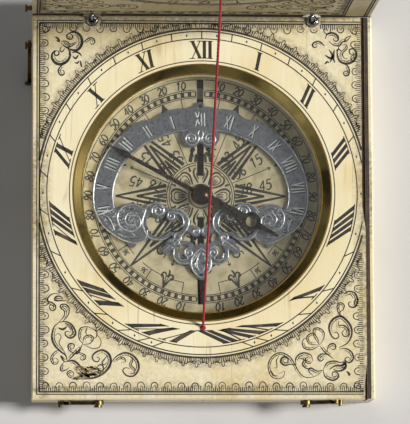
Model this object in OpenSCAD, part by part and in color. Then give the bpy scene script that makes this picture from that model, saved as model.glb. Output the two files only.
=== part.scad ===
// Ivory diptych sundial: two hinged tablets, a compass well with a sliding hour plate,
// a string gnomon, and the calendar disc under the base that sets the hour plate.
// The origin is the middle of the base's footprint, on its underside. +Y points to the hinge.
// The lid stands upright, as when the dial is in use.

/* [Tablets] */
// Width of both tablets, over the edge strips
tablet_w = 66; // [65:0.5:76]
// Depth of both tablets, from the front edge to the hinge edge
tablet_d = 74.5; // [73:0.5:86]
// Thickness of the base tablet
base_t = 9; // [8.6:0.1:12]
// Thickness of the lid
lid_t = 5.5; // [4.8:0.1:8]
// Gap between the tablets when the lid is shut
lid_gap = 0.3; // [0.2:0.05:0.4]
// Chamfer along the tablets' outer edges
edge_chamfer = 0.25; // [0.1:0.05:0.5]

/* [Edge strips] */
// Width of the base's two edge strips
strip_w = 1.45; // [1:0.05:2]
// Width of the lid's right edge strip
lid_strip_w = 4.9; // [3:0.1:6]
// Opening of the right strip's seam at the hinge edge
seam_back_w = 0.68; // [0.3:0.02:0.9]
// Opening of that seam at the front edge
seam_front_w = 0.5; // [0.3:0.02:0.9]
// Opening of that seam along its tight middle stretch
seam_tight_w = 0.08; // [0.04:0.02:0.2]
// Depth of that seam below the top face
seam_depth = 5; // [2:0.25:7]
// Length of the seam's open stretch at the front edge
seam_front_len = 5; // [2:0.5:12]
// Place where its open stretch at the hinge begins, from the tablet's middle
seam_back_from = -2; // [-10:0.5:10]

/* [Compass well] */
// Sideways place of the dial's middle
dial_x = -0.1; // [-0.5:0.05:0.5]
// Place of the dial's middle, behind the tablet's middle
dial_y = 2.8; // [2:0.1:4]
// Outside radius of the brass bezel
bezel_r = 25.1; // [24.6:0.1:26]
// Width of the bezel, from its rim to its inner lip
bezel_w = 1.9; // [1.5:0.1:2.4]
// Depth of the bezel
bezel_h = 1.4; // [1:0.1:1.8]
// Height of the bezel's inner lip
bezel_lip_h = 0.25; // [0.15:0.05:0.6]
// Width of the bezel's flat top rim
bezel_rim_w = 0.3; // [0.15:0.05:0.6]
// Reach of the glass under the bezel
glass_grip = 0.9; // [0.5:0.05:1.1]
// Thickness of the glass
glass_t = 0.7; // [0.5:0.05:1]
// Width of the ledge that carries the glass
glass_ledge = 0.5; // [0.3:0.05:0.8]
// Thickness of the compass card
card_t = 0.3; // [0.2:0.05:0.5]
// Thickness of the ivory floor under the card
floor_t = 0.8; // [0.6:0.05:1]

/* [Hour plate] */
// Gap between the hour plate's sides and the well's wall
plate_side_gap = 2.5; // [2.2:0.1:4]
// Gap between the hour plate's finial and the well's wall at the end of its travel
plate_end_gap = 1.2; // [1.1:0.1:2]
// Width of the hour band at its sides
band_side_w = 4.1; // [3:0.1:5]
// Width of the hour band at noon
band_noon_w = 4.7; // [3.5:0.1:5.2]
// Thickness of the hour plate
plate_t = 0.6; // [0.4:0.05:0.8]
// Gap between the hour plate and the card
plate_lift = 0.15; // [0.1:0.05:0.3]
// Travel of the hour plate each way from the equinox
plate_travel = 4.8; // [4:0.1:5]
// Width of the two meridian slots
slot_w = 1.35; // [1.2:0.05:1.6]
// Inner end of both slots, from the dial's middle
slot_start = 4; // [3:0.1:5]
// Spare length of the slots past the pins' travel
slot_spare = 0.12; // [0.05:0.01:0.3]

/* [Compass needle] */
// Direction of the needle's north arm, from east
needle_heading = 151.7; // [0:0.1:360]
// Gap between the north arm's tip and the well's wall
needle_gap = 2.8; // [2:0.1:5]
// Gap between the south arm's tip and the well's wall
tail_gap = 6.6; // [3:0.1:8]
// Width of the north arm's shaft
needle_w = 0.9; // [0.6:0.05:1.2]
// Width of the south arm
needle_tail_w = 1.7; // [1.2:0.05:2]
// Thickness of the needle
needle_t = 0.35; // [0.2:0.05:0.5]
// Height of the needle above the card
needle_lift = 1.9; // [1.5:0.05:2.1]
// Distance of the ring in the south arm from the pivot
needle_ring_at = 11; // [9:0.1:12]
// Outside radius of that ring
needle_ring_r = 1.85; // [1.5:0.05:2.2]
// Hole radius of that ring
needle_ring_hole_r = 1.05; // [0.8:0.05:1.2]
// Radius of the brass cap
cap_r = 2; // [1.6:0.05:2.4]
// Height of the cap's dome
cap_h = 1.1; // [0.8:0.05:1.3]
// Length of the spear at the north arm's tip
spear_len = 5.2; // [3:0.1:8]
// Width of that spear
spear_w = 1.35; // [1:0.05:2]
// Radius of the pivot pin
pivot_r = 0.4; // [0.3:0.05:0.5]
// Wall of the rivet's sleeve round the pivot's foot
sleeve_wall = 0.3; // [0.2:0.05:0.5]

/* [Calendar disc] */
// Rim of the calendar disc outside its groove
disc_rim = 3.1; // [2:0.1:4]
// Thickness of the calendar disc
disc_t = 1.2; // [1.1:0.05:1.5]
// Clearance above, below and round the disc
disc_gap = 0.15; // [0.1:0.05:0.2]
// Depth of its spiral groove
groove_depth = 0.7; // [0.6:0.05:0.8]
// Turn of the disc each way from the equinox
disc_turn = 150; // [120:1:160]
// Radius of the finger hole
finger_r = 1.2; // [0.8:0.1:1.6]
// Distance of the finger hole from the disc's edge
finger_inset = 3.7; // [3:0.1:5]
// Radius of the rivet's shank
rivet_r = 0.9; // [0.7:0.05:1.2]
// Radius of the rivet's head
rivet_head_r = 2.2; // [1.8:0.1:2.6]
// Thickness of the rivet's head
rivet_head_t = 0.4; // [0.3:0.05:0.45]

/* [Moon disc] */
// Radius of the moon disc in the lid
moon_r = 17; // [14:0.5:19]
// Thickness of the moon disc
moon_t = 0.9; // [0.7:0.05:1.2]
// Height of its middle above the hinge
moon_h = 37; // [34:0.5:40]
// Radius of the hole that shows the moon's phase
phase_r = 2.2; // [1.5:0.1:3]
// Distance of that hole from the moon disc's middle
phase_at = 9; // [7:0.5:11]
// Ivory left behind the moon disc's rivet
rivet_wall = 1; // [0.5:0.1:2]

/* [Gnomon thread] */
// Diameter of the thread
thread_d = 0.5; // [0.4:0.05:0.6]
// Distance of the thread's foot from the bezel
foot_margin = 1.2; // [1:0.1:2]
// Latitude that the thread is set for
latitude = 49; // [46:0.5:50]
// Clearance round the thread in its holes
thread_gap = 0.1; // [0.05:0.05:0.15]
// Radius of the two knots
knot_r = 0.65; // [0.5:0.05:0.8]

/* [Hinge] */
// Distance of each hinge eye from the tablet's side
eye_inset = 11.6; // [9:0.1:15]
// Radius of the wire
wire_r = 0.32; // [0.25:0.01:0.35]
// Radius of the eyes, to the middle of the wire
eye_r = 0.85; // [0.8:0.01:0.95]
// Length of the eyes' shanks
shank_len = 3; // [2:0.1:3.4]
// Clearance round the eyes in their pockets
eye_gap = 0.1; // [0.08:0.01:0.12]

/* [Hooks] */
// Distance of the left front hook's pivot from the tablet's side
left_hook_inset = 12.8; // [9:0.1:17]
// Distance of the right front hook's pivot from the tablet's side
right_hook_inset = 13.1; // [11:0.1:19]
// Height of the front hooks' pivots
hook_z = 6; // [5:0.1:6.4]
// Rest angle of the left hook, from the +X direction
left_hook_angle = 180; // [120:1:190]
// Rest angle of the right hook, from the +X direction
right_hook_angle = 30; // [0:1:60]
// Place of the stay's pivot in front of the hinge axis
stay_y = 5.55; // [4.5:0.05:6]
// Height of the stay's pivot
stay_z = 6.8; // [6.6:0.1:7.4]
// Rest angle of the stay, from the +Y direction
stay_angle = 222; // [190:1:224]
// Thickness of the hooks
hook_t = 0.7; // [0.5:0.05:1]
// Width of the hooks' arms
hook_w = 1; // [0.8:0.05:1.2]
// Radius of the hooks' round eyes and mouths
hook_eye_r = 1.1; // [1:0.05:1.2]
// Reach of the hooks' tips past their mouths
hook_tip = 1.2; // [1.15:0.05:1.6]
// Radius of the finger knobs on the hooks' tips
knob_r = 0.35; // [0.25:0.05:0.4]
// Height of those knobs
knob_h = 0.5; // [0.3:0.05:0.8]
// Radius of the pins and studs
pin_r = 0.45; // [0.4:0.05:0.5]
// Radius of the pins' heads
pin_head_r = 0.75; // [0.65:0.05:0.8]
// Thickness of the pins' heads
pin_head_t = 0.4; // [0.3:0.05:0.6]
// Depth of the pins in the ivory
pin_depth = 4; // [3:0.25:5]
// Side clearance of the hooks on their pins
hook_side_gap = 0.12; // [0.08:0.01:0.2]
// Place of the stay's stud behind the hinge axis
stay_stud_y = 1.2; // [1.1:0.05:1.4]
// Height of the stay's stud above the hinge axis
stay_stud_z = 1; // [0.9:0.05:1.2]

/* [Fits] */
// Radial clearance of turning pieces on their pins
run_gap = 0.06; // [0.03:0.01:0.09]
// Radial clearance of fixed pieces in their seats
seat_gap = 0.03; // [0.01:0.01:0.05]

/* [Hidden] */
$fn = 64;

ivory = [0.93, 0.88, 0.72];
brass = [0.80, 0.64, 0.30];
pewter = [0.52, 0.54, 0.58];
steel = [0.22, 0.22, 0.24];
card_paper = [0.80, 0.72, 0.55];
thread_red = [0.68, 0.16, 0.18];
clear = [0.80, 0.90, 0.92, 0.30];

// Cuts run past the faces that they open by this much
over = 1;
// Small space that keeps two rounded ends from touching
hair = 0.1;

half_w = tablet_w / 2;
half_d = tablet_d / 2;
plate_left = -half_w + strip_w;
plate_right = half_w - strip_w;

// The hinge axis runs along X on the line between the tablets' corners
hinge_y = half_d;
hinge_z = base_t + lid_gap / 2;
// Inner face of the upright lid, behind the hinge axis
lid_face = lid_gap / 2;
// Room that the eyes' wire and their rings take up in the pockets
wire_room = wire_r + eye_gap;
eye_room = eye_r + wire_room;
eye_x = half_w - eye_inset;

// Radii in the well, from the rim inwards
bezel_lip_r = bezel_r - bezel_w;
glass_r = bezel_lip_r + glass_grip;
chamber_r = glass_r - glass_ledge;

// Levels in the well, from the underside up
recess_h = disc_t + 2 * disc_gap;
floor_top = recess_h + floor_t;
card_top = floor_top + card_t;
plate_z = card_top + plate_lift;
glass_top = base_t - bezel_h;
glass_z = glass_top - glass_t;
disc_top = disc_gap + disc_t;

// The hour plate and its window are elliptical; its openwork is drawn in hundredths of its half width
plate_half_w = chamber_r - plate_side_gap;
plate_half_h = chamber_r - plate_travel - plate_end_gap;
window_half_w = plate_half_w - band_side_w;
window_half_h = plate_half_h - band_noon_w;
hundredth = plate_half_w / 100;
guide_pin_r = slot_w / 2 - run_gap;
guide_pin_y = plate_half_h;
drive_pin_y = -74 * hundredth;
slot_north = guide_pin_y + plate_travel + slot_w / 2 + slot_spare;
slot_south = plate_travel - drive_pin_y + slot_w / 2 + slot_spare;
// The plate's ends stand out past its pins, and the pins step in where they pass the plate
pin_step = 0.2;
finial_r = guide_pin_r + 0.25;

// Needle and pivot: the cap's barrel reaches below the needle, the pivot's tip above it
needle_z = card_top + needle_lift;
needle_north = chamber_r - needle_gap;
needle_south = chamber_r - tail_gap;
barrel_r = pivot_r + run_gap + 0.45;
barrel_drop = 0.3;
pivot_tip = needle_z + needle_t + 0.2;
collar_t = 0.3;
sleeve_r = pivot_r + sleeve_wall;

// The spiral groove moves the drive pin by plate_travel in disc_turn degrees
spiral_pitch = plate_travel / disc_turn;
disc_r = plate_travel - drive_pin_y + slot_w / 2 + disc_rim;
finger_at = disc_r - finger_inset;

// Thread route, from its foot in the base to its hole in the lid
thread_r = thread_d / 2;
thread_hole_r = thread_r + thread_gap;
thread_foot_y = dial_y - bezel_r - foot_margin;
thread_rise = (hinge_y + lid_face - thread_foot_y) * tan(latitude);
thread_head_z = base_t + thread_rise;

// Hooks reach from their pivots to studs in the middle of the shut lid's edges
left_hook_x = left_hook_inset - half_w;
right_hook_x = half_w - right_hook_inset;
stud_z = hinge_z + lid_face + lid_t / 2;
hook_len = stud_z - hook_z;
stay_pivot_y = hinge_y - stay_y;
stay_len = norm([stay_y + stay_stud_y, hinge_z + stay_stud_z - stay_z]);
hook_space = hook_t + 2 * hook_side_gap;

// Rectangle from the origin with its corners cut off
module cut_corners(a, b) {
    c = edge_chamfer;
    polygon([[c, 0], [a - c, 0], [a, c], [a, b - c], [a - c, b], [c, b], [0, b - c], [0, c]]);
}

// Block from the origin, chamfered along all its edges
module chamfered_block(w, d, t) {
    intersection() {
        linear_extrude(t) cut_corners(w, d);
        translate([0, d, 0]) rotate([90, 0, 0]) linear_extrude(d) cut_corners(w, t);
        rotate([90, 0, 90]) linear_extrude(w) cut_corners(d, t);
    }
}

// Children placed round the hinge axis of the upright lid
module on_hinge() {
    translate([0, hinge_y, hinge_z]) children();
}

// Children placed at the dial's middle
module on_dial() {
    translate([dial_x, dial_y, 0]) children();
}

// Children turned so that their +Z points along -Y
module to_front() {
    rotate([90, 0, 0]) children();
}

// Children turned so that their +Z points along +X, their +X along +Y
module to_side() {
    rotate([90, 0, 90]) children();
}

// Round rod between two points of the YZ plane at x
module rod(x, from, to, r) {
    run = to - from;
    translate([x, from[0], from[1]])
        rotate([-atan2(run[0], run[1]), 0, 0])
        cylinder(h = norm(run), r = r);
}

// Ring of wire round Z
module wire_ring() {
    rotate_extrude() translate([eye_r, 0]) circle(r = wire_r, $fn = 24);
}

module base_block() {
    translate([-half_w, -half_d, 0]) chamfered_block(tablet_w, tablet_d, base_t);
}

// Space between the base tablet and its right strip: open at both ends, tight between
module seam_space() {
    far = half_d + over;
    front = -half_d + seam_front_len;
    seam_taper = 2;
    translate([plate_right, 0, base_t - seam_depth])
        linear_extrude(seam_depth + over)
        polygon([
            [over, -far], [-seam_front_w, -far], [-seam_front_w, front - seam_taper],
            [-seam_tight_w, front + seam_taper], [-seam_tight_w, seam_back_from - seam_taper],
            [-seam_back_w, seam_back_from + seam_taper], [-seam_back_w, far], [over, far],
        ]);
}

// Slots of the meridian line, through the card and the floor
module meridian_slots(z0, z1) {
    for (end = [[slot_start, slot_north], [-slot_south, -slot_start]])
        translate([-slot_w / 2, end[0], z0]) cube([slot_w, end[1] - end[0], z1 - z0]);
}

// Places of the two front pins, and of the stay's pin on the left side
module at_front_pins() {
    for (x = [left_hook_x, right_hook_x])
        translate([x, -half_d, hook_z]) to_front() children();
}

module at_stay_pin() {
    translate([-half_w, stay_pivot_y, stay_z]) rotate([0, -90, 0]) children();
}

// Headed pin: the ivory's face is at z = 0 and the head stands clear of a hook
module headed_pin() {
    translate([0, 0, -pin_depth]) cylinder(h = pin_depth + hook_space, r = pin_r);
    translate([0, 0, hook_space]) cylinder(h = pin_head_t, r = pin_head_r);
}

module pin_hole() {
    translate([0, 0, -pin_depth]) cylinder(h = pin_depth + over, r = pin_r + seat_gap);
}

// Room for the eyes at the base's hinge corner
module base_eye_pockets() {
    for (side = [-1, 1]) translate([side * eye_x, 0, 0]) on_hinge() {
        translate([0, -eye_r, -wire_room]) cylinder(h = wire_room + over, r = eye_room);
        translate([-eye_room, -eye_r, -wire_room])
            cube([2 * eye_room, eye_r + over, wire_room + over]);
        translate([-wire_room, 0, 0]) to_side() cylinder(h = 2 * wire_room, r = eye_room);
        translate([0, -2 * eye_r, -shank_len]) cylinder(h = shank_len, r = wire_r + seat_gap);
    }
}

// Room for the eyes at the lid's hinge corner, also when the lid is shut
module lid_eye_pockets() {
    for (side = [-1, 1]) translate([side * eye_x, 0, 0]) {
        translate([-eye_room, 0, 0]) to_side() cylinder(h = 2 * eye_room, r = wire_room);
        translate([0, wire_room, eye_r]) to_front() cylinder(h = wire_room + over, r = eye_room);
        translate([-wire_room, 0, 0]) to_side() cylinder(h = 2 * wire_room, r = eye_room);
        rotate([-45, 0, 0]) cylinder(h = eye_r + shank_len, r = wire_r + seat_gap);
    }
}

module base_tablet() {
    color(ivory) difference() {
        intersection() {
            base_block();
            translate([plate_left, -half_d, 0])
                cube([plate_right - plate_left, tablet_d, base_t]);
        }
        seam_space();
        on_dial() {
            translate([0, 0, floor_top]) cylinder(h = base_t, r = chamber_r, $fn = 160);
            translate([0, 0, glass_z]) cylinder(h = base_t, r = glass_r + seat_gap, $fn = 160);
            translate([0, 0, glass_top]) cylinder(h = base_t, r = bezel_r + seat_gap, $fn = 160);
            translate([0, 0, -over])
                cylinder(h = recess_h + over, r = disc_r + disc_gap, $fn = 160);
            cylinder(h = base_t, r = sleeve_r);
            meridian_slots(0, floor_top + over);
        }
        translate([dial_x, thread_foot_y, -over]) {
            cylinder(h = base_t + 2 * over, r = thread_hole_r, $fn = 32);
            cylinder(h = 2 * knot_r + over + hair, r = knot_r + thread_gap, $fn = 32);
        }
        at_front_pins() pin_hole();
        at_stay_pin() pin_hole();
        base_eye_pockets();
    }
}

module base_strip_left() {
    color(ivory) difference() {
        intersection() {
            base_block();
            translate([-half_w, -half_d, 0]) cube([strip_w, tablet_d, base_t]);
        }
        at_stay_pin() pin_hole();
    }
}

module base_strip_right() {
    color(ivory) intersection() {
        base_block();
        translate([plate_right, -half_d, 0]) cube([strip_w, tablet_d, base_t]);
    }
}

module compass_bezel() {
    color(brass) on_dial() translate([0, 0, glass_top]) rotate_extrude($fn = 160)
        polygon([
            [bezel_lip_r, 0], [bezel_r, 0], [bezel_r, bezel_h],
            [bezel_r - bezel_rim_w, bezel_h], [bezel_lip_r, bezel_lip_h],
        ]);
}

module compass_glass() {
    color(clear) on_dial() translate([0, 0, glass_z])
        cylinder(h = glass_t, r = glass_r, $fn = 160);
}

module compass_card() {
    color(card_paper) on_dial() difference() {
        translate([0, 0, floor_top]) cylinder(h = card_t, r = chamber_r - seat_gap, $fn = 160);
        translate([0, 0, floor_top - over]) cylinder(h = card_t + 2 * over, r = sleeve_r);
        meridian_slots(floor_top - over, card_top + over);
    }
}

// Pointed pin that carries the needle, with a foot in the rivet and a collar on the card
module needle_pivot() {
    color(brass) on_dial() {
        translate([0, 0, recess_h]) cylinder(h = pivot_tip - 2 * pivot_r - recess_h, r = pivot_r);
        translate([0, 0, card_top]) cylinder(h = collar_t, r = 3 * pivot_r);
        translate([0, 0, pivot_tip - 2 * pivot_r])
            rotate_extrude() polygon([[0, 0], [pivot_r, 0], [0, 2 * pivot_r]]);
    }
}

// Rivet that carries the calendar disc, held by the pivot's foot
module disc_rivet() {
    color(brass) on_dial() difference() {
        union() {
            translate([0, 0, disc_gap]) cylinder(h = rivet_head_t, r = rivet_head_r);
            translate([0, 0, disc_gap]) cylinder(h = recess_h - disc_gap, r = rivet_r);
            translate([0, 0, recess_h - hair])
                cylinder(h = floor_t + hair, r = sleeve_r - seat_gap);
        }
        translate([0, 0, recess_h]) cylinder(h = floor_t + over, r = pivot_r + seat_gap);
    }
}

// Wire eyes at the hinge: a flat ring on the base, and a shank down into the ivory
module base_hinge_eyes() {
    color(steel) for (side = [-1, 1]) translate([side * eye_x, 0, 0]) on_hinge() {
        translate([0, -eye_r, 0]) wire_ring();
        translate([0, -2 * eye_r, -shank_len]) cylinder(h = shank_len, r = wire_r, $fn = 24);
    }
}

// Rings round the hinge axis that pass through the base's eyes, with shanks into the lid's corner
module lid_hinge_eyes() {
    color(steel) for (side = [-1, 1]) translate([side * eye_x, 0, 0]) on_hinge() {
        to_side() wire_ring();
        rotate([-45, 0, 0]) translate([0, 0, eye_r])
            cylinder(h = shank_len, r = wire_r, $fn = 24);
    }
}

module front_hook_pins() {
    color(brass) at_front_pins() headed_pin();
}

module stay_pin() {
    color(brass) at_stay_pin() headed_pin();
}

// Knot under the base, and the stretch of thread in its hole
module thread_foot() {
    color(thread_red) translate([dial_x, thread_foot_y, 0]) {
        translate([0, 0, knot_r + hair]) sphere(r = knot_r, $fn = 32);
        translate([0, 0, knot_r]) cylinder(h = base_t - knot_r, r = thread_r, $fn = 24);
    }
}

// Free stretch of the thread, clear of both faces
module gnomon_thread() {
    start = [thread_foot_y, base_t];
    end = [hinge_y + lid_face, thread_head_z];
    along = (end - start) / norm(end - start);
    color(thread_red)
        rod(dial_x, start + along * thread_d, end - along * thread_d, thread_r, $fn = 24);
}

module lid_block() {
    translate([-half_w, lid_face, 0]) chamfered_block(tablet_w, lid_t, tablet_d);
}

// Studs in the lid's far edge, which lies over the front hooks when the lid is shut
module at_lid_studs() {
    for (x = [left_hook_x, right_hook_x])
        translate([x, lid_face + lid_t / 2, tablet_d]) children();
}

module at_stay_stud() {
    translate([-half_w, stay_stud_y, stay_stud_z]) rotate([0, -90, 0]) children();
}

module at_moon() {
    translate([dial_x, lid_face, moon_h]) to_front() children();
}

module lid_tablet() {
    color(ivory) on_hinge() difference() {
        intersection() {
            lid_block();
            translate([-half_w, lid_face, 0]) cube([tablet_w - lid_strip_w, lid_t, tablet_d]);
        }
        at_moon() {
            translate([0, 0, -moon_t - 2 * disc_gap])
                cylinder(h = moon_t + 2 * disc_gap + over, r = moon_r + disc_gap, $fn = 128);
            translate([0, 0, rivet_wall - lid_t]) cylinder(h = lid_t, r = rivet_r + seat_gap);
        }
        translate([dial_x, lid_face - over, thread_head_z - hinge_z]) rotate([-90, 0, 0])
            cylinder(h = lid_t + 2 * over, r = thread_hole_r, $fn = 32);
        at_lid_studs() pin_hole();
        at_stay_stud() pin_hole();
        lid_eye_pockets();
    }
}

module lid_strip_right() {
    color(ivory) on_hinge() intersection() {
        lid_block();
        translate([half_w - lid_strip_w, lid_face, 0]) cube([lid_strip_w, lid_t, tablet_d]);
    }
}

module lid_catch_studs() {
    color(brass) on_hinge() at_lid_studs() headed_pin();
}

module stay_stud() {
    color(brass) on_hinge() at_stay_stud() headed_pin();
}

// Stretch of thread in the lid's hole, and the knot behind the lid
module thread_head() {
    color(thread_red) translate([dial_x, hinge_y + lid_face, thread_head_z])
        rotate([-90, 0, 0]) {
            cylinder(h = lid_t + knot_r, r = thread_r, $fn = 24);
            translate([0, 0, lid_t + knot_r]) sphere(r = knot_r, $fn = 32);
        }
}

module moon_rivet() {
    color(brass) on_hinge() at_moon() {
        translate([0, 0, -disc_gap - rivet_head_t]) cylinder(h = rivet_head_t, r = rivet_head_r);
        translate([0, 0, rivet_wall - lid_t])
            cylinder(h = lid_t - rivet_wall - disc_gap, r = rivet_r);
    }
}

// Disc with a window for the moon's phase, sunk in the lid's inner face
module moon_disc() {
    color(pewter) on_hinge() at_moon() difference() {
        translate([0, 0, -moon_t - disc_gap]) cylinder(h = moon_t, r = moon_r, $fn = 128);
        translate([0, 0, -lid_t]) cylinder(h = lid_t + over, r = rivet_r + run_gap);
        translate([0, 0, -disc_gap - rivet_head_t - hair])
            cylinder(h = lid_t, r = rivet_head_r + disc_gap);
        translate([0, phase_at, -lid_t]) cylinder(h = lid_t + over, r = phase_r);
    }
}

// Steel needle: a shaft with a spear tip to the north, and a bar, a ring and a tail to the south
module compass_needle() {
    spear = needle_north - spear_len;
    waist = needle_w / 2 - hair;
    shoulder = 0.15 * spear_len;
    tail = 0.44 * needle_tail_w;
    tail_tip = 0.2;
    color(steel) on_dial() translate([0, 0, needle_z]) rotate([0, 0, needle_heading])
        difference() {
            union() {
                linear_extrude(needle_t) polygon([
                    [0, -needle_w / 2], [spear, -waist], [spear + shoulder, -spear_w / 2],
                    [needle_north, 0], [spear + shoulder, spear_w / 2], [spear, waist],
                    [0, needle_w / 2],
                ]);
                translate([-needle_ring_at, -needle_tail_w / 2, 0])
                    cube([needle_ring_at, needle_tail_w, needle_t]);
                linear_extrude(needle_t) polygon([
                    [-needle_ring_at, -tail], [-needle_south, -tail_tip],
                    [-needle_south, tail_tip], [-needle_ring_at, tail],
                ]);
                translate([-needle_ring_at, 0, 0]) cylinder(h = needle_t, r = needle_ring_r);
                cylinder(h = needle_t, r = cap_r - hair);
            }
            translate([-needle_ring_at, 0, -over])
                cylinder(h = needle_t + 2 * over, r = needle_ring_hole_r);
            translate([0, 0, -over]) cylinder(h = needle_t + 2 * over, r = barrel_r + seat_gap);
        }
}

// Brass cap: a domed top on the needle and a barrel that turns on the pivot
module needle_cap() {
    dome_r = (cap_r * cap_r + cap_h * cap_h) / (2 * cap_h);
    top = needle_z + needle_t;
    color(brass) on_dial() difference() {
        union() {
            translate([0, 0, needle_z - barrel_drop])
                cylinder(h = needle_t + barrel_drop + hair, r = barrel_r);
            intersection() {
                translate([0, 0, top + cap_h - dome_r]) sphere(r = dome_r, $fn = 96);
                translate([0, 0, top]) cylinder(h = cap_h, r = cap_r);
            }
        }
        translate([0, 0, needle_z - over])
            cylinder(h = pivot_tip + hair - needle_z + over, r = pivot_r + run_gap);
    }
}

// Point of an ellipse at an angle
function on_ellipse(a, b, t) = [a * cos(t), b * sin(t)];

// Depth of a V notch in the band's outer edge, as a share of its size, so many degrees off noon
function notch(off, at, reach, depth) = depth * max(0, 1 - abs(off - at) / reach);

// The hour band: the upper arc of an elliptical ring, with two notches on each side of noon
module hour_band() {
    steps = 102;
    angles = [for (i = [0:steps]) -12 + 204 * i / steps];
    outer = [for (t = angles)
        let (off = abs(t - 90), s = 1 - notch(off, 26, 8, 0.045) - notch(off, 9, 4, 0.02))
        on_ellipse(plate_half_w * s, plate_half_h * s, t)];
    inner = [for (i = [steps:-1:0]) on_ellipse(window_half_w, window_half_h, angles[i])];
    linear_extrude(plate_t) polygon(concat(outer, inner));
}

module plate_disc(x, y, r) {
    translate([x, y, 0] * hundredth) cylinder(h = plate_t, r = r * hundredth, $fn = 40);
}

// Round opening in the openwork
module plate_hole(x, y, r) {
    translate([x * hundredth, y * hundredth, -over])
        cylinder(h = plate_t + 2 * over, r = r * hundredth, $fn = 40);
}

// Openwork on the left half of the plate: a leaf, a double loop with two volutes, a small loop
module plate_scrolls() {
    linear_extrude(plate_t) polygon(hundredth * [
        [-99, -7], [-96, -18], [-89, -28], [-82, -36], [-67, -44], [-50, -41], [-50, -14],
        [-59, -8], [-66, -7], [-72, -9], [-76, -14], [-79, -9], [-80, -7]]);
    plate_disc(-63, -45, 3.3);
    difference() {
        union() {
            plate_disc(-40, -25, 17);
            plate_disc(-23, -25, 12.8);
        }
        plate_hole(-39, -26, 12.3);
        plate_hole(-24, -26, 8.5);
    }
    plate_disc(-39, -14, 7);
    plate_disc(-27, -19, 5);
    plate_disc(-21, -39, 5.2);
    plate_disc(-27, -45, 5.2);
    plate_disc(-32, -50, 4);
    difference() {
        plate_disc(-14.7, -53, 11.1);
        plate_hole(-15.6, -52, 6.6);
    }
    plate_disc(-11, -53, 5.4);
    plate_disc(-9.5, -31, 3.8);
    plate_disc(-4.7, -33, 5);
    translate([-11 * hundredth, window_half_h - 6 * hundredth, 0])
        cylinder(h = plate_t, r = 7 * hundredth, $fn = 40);
}

module hour_plate() {
    color(pewter) on_dial() translate([0, 0, plate_z]) difference() {
        union() {
            hour_band();
            plate_scrolls();
            mirror([1, 0, 0]) plate_scrolls();
            translate([0, guide_pin_y, 0]) cylinder(h = plate_t, r = finial_r);
            plate_disc(0, -49, 4.7);
            plate_disc(0, -62, 11);
            translate([0, drive_pin_y, 0]) cylinder(h = plate_t, r = finial_r);
        }
        for (y = [guide_pin_y, drive_pin_y]) translate([0, y, -over])
            cylinder(h = plate_t + 2 * over, r = guide_pin_r + seat_gap - pin_step);
    }
}

// Pin through the plate and a slot: a neck riveted in the plate over a wider shank
module plate_pin(y, bottom) {
    color(pewter) on_dial() translate([0, y, 0]) {
        translate([0, 0, bottom]) cylinder(h = plate_z - bottom, r = guide_pin_r);
        translate([0, 0, plate_z]) cylinder(h = plate_t, r = guide_pin_r - pin_step);
    }
}

module plate_guide_pin() {
    plate_pin(guide_pin_y, recess_h + hair);
}

module plate_drive_pin() {
    plate_pin(drive_pin_y, disc_top - groove_depth + hair);
}

// Radius of the spiral groove's middle at an angle from +X
function spiral_r(t) = -drive_pin_y + spiral_pitch * (t + 90);

// Disc under the base; its spiral groove carries the drive pin of the hour plate
module calendar_disc() {
    steps = 90;
    reach = disc_turn + 5;
    angles = [for (i = [0:steps]) -90 - reach + 2 * reach * i / steps];
    half = slot_w / 2;
    color(pewter) on_dial() difference() {
        translate([0, 0, disc_gap]) cylinder(h = disc_t, r = disc_r, $fn = 160);
        translate([0, 0, disc_top - groove_depth]) linear_extrude(groove_depth + over)
            polygon(concat(
                [for (t = angles) (spiral_r(t) - half) * [cos(t), sin(t)]],
                [for (i = [steps:-1:0]) let (t = angles[i])
                    (spiral_r(t) + half) * [cos(t), sin(t)]]));
        cylinder(h = recess_h, r = rivet_r + run_gap);
        cylinder(h = disc_gap + rivet_head_t + hair, r = rivet_head_r + disc_gap);
        translate([0, finger_at, 0]) cylinder(h = recess_h, r = finger_r);
    }
}

// Hook in the XY plane: its eye at the origin, its mouth len along +X, open towards side,
// and a finger knob on the outer face of its tip
module hook(len, side) {
    mouth_r = pin_r + run_gap;
    difference() {
        union() {
            cylinder(h = hook_t, r = hook_eye_r);
            translate([0, -hook_w / 2, 0]) cube([len, hook_w, hook_t]);
            translate([len, 0, 0]) cylinder(h = hook_t, r = hook_eye_r);
            translate([len + hook_tip, 0, 0]) cylinder(h = hook_t, r = knob_r + hair);
            translate([len + hook_tip, 0, 0]) cylinder(h = hook_t + knob_h, r = knob_r);
        }
        translate([0, 0, -over]) cylinder(h = hook_t + 2 * over, r = pin_r + run_gap);
        translate([len, 0, -over]) cylinder(h = hook_t + 2 * over, r = mouth_r);
        translate([len - mouth_r, side > 0 ? 0 : -2 * hook_eye_r, -over])
            cube([2 * mouth_r, 2 * hook_eye_r, hook_t + 2 * over]);
    }
}

module front_hook(x, angle, side) {
    color(brass) translate([x, -half_d, hook_z]) to_front()
        translate([0, 0, hook_side_gap]) rotate([0, 0, angle]) hook(hook_len, side);
}

module front_hook_left() {
    front_hook(left_hook_x, left_hook_angle, -1);
}

module front_hook_right() {
    front_hook(right_hook_x, right_hook_angle, 1);
}

// Stay that holds the lid upright when it is swung up onto the lid's side stud
module stay_hook() {
    color(brass) translate([-half_w, stay_pivot_y, stay_z]) mirror([1, 0, 0]) to_side()
        translate([0, 0, hook_side_gap]) rotate([0, 0, stay_angle]) hook(stay_len, -1);
}

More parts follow.
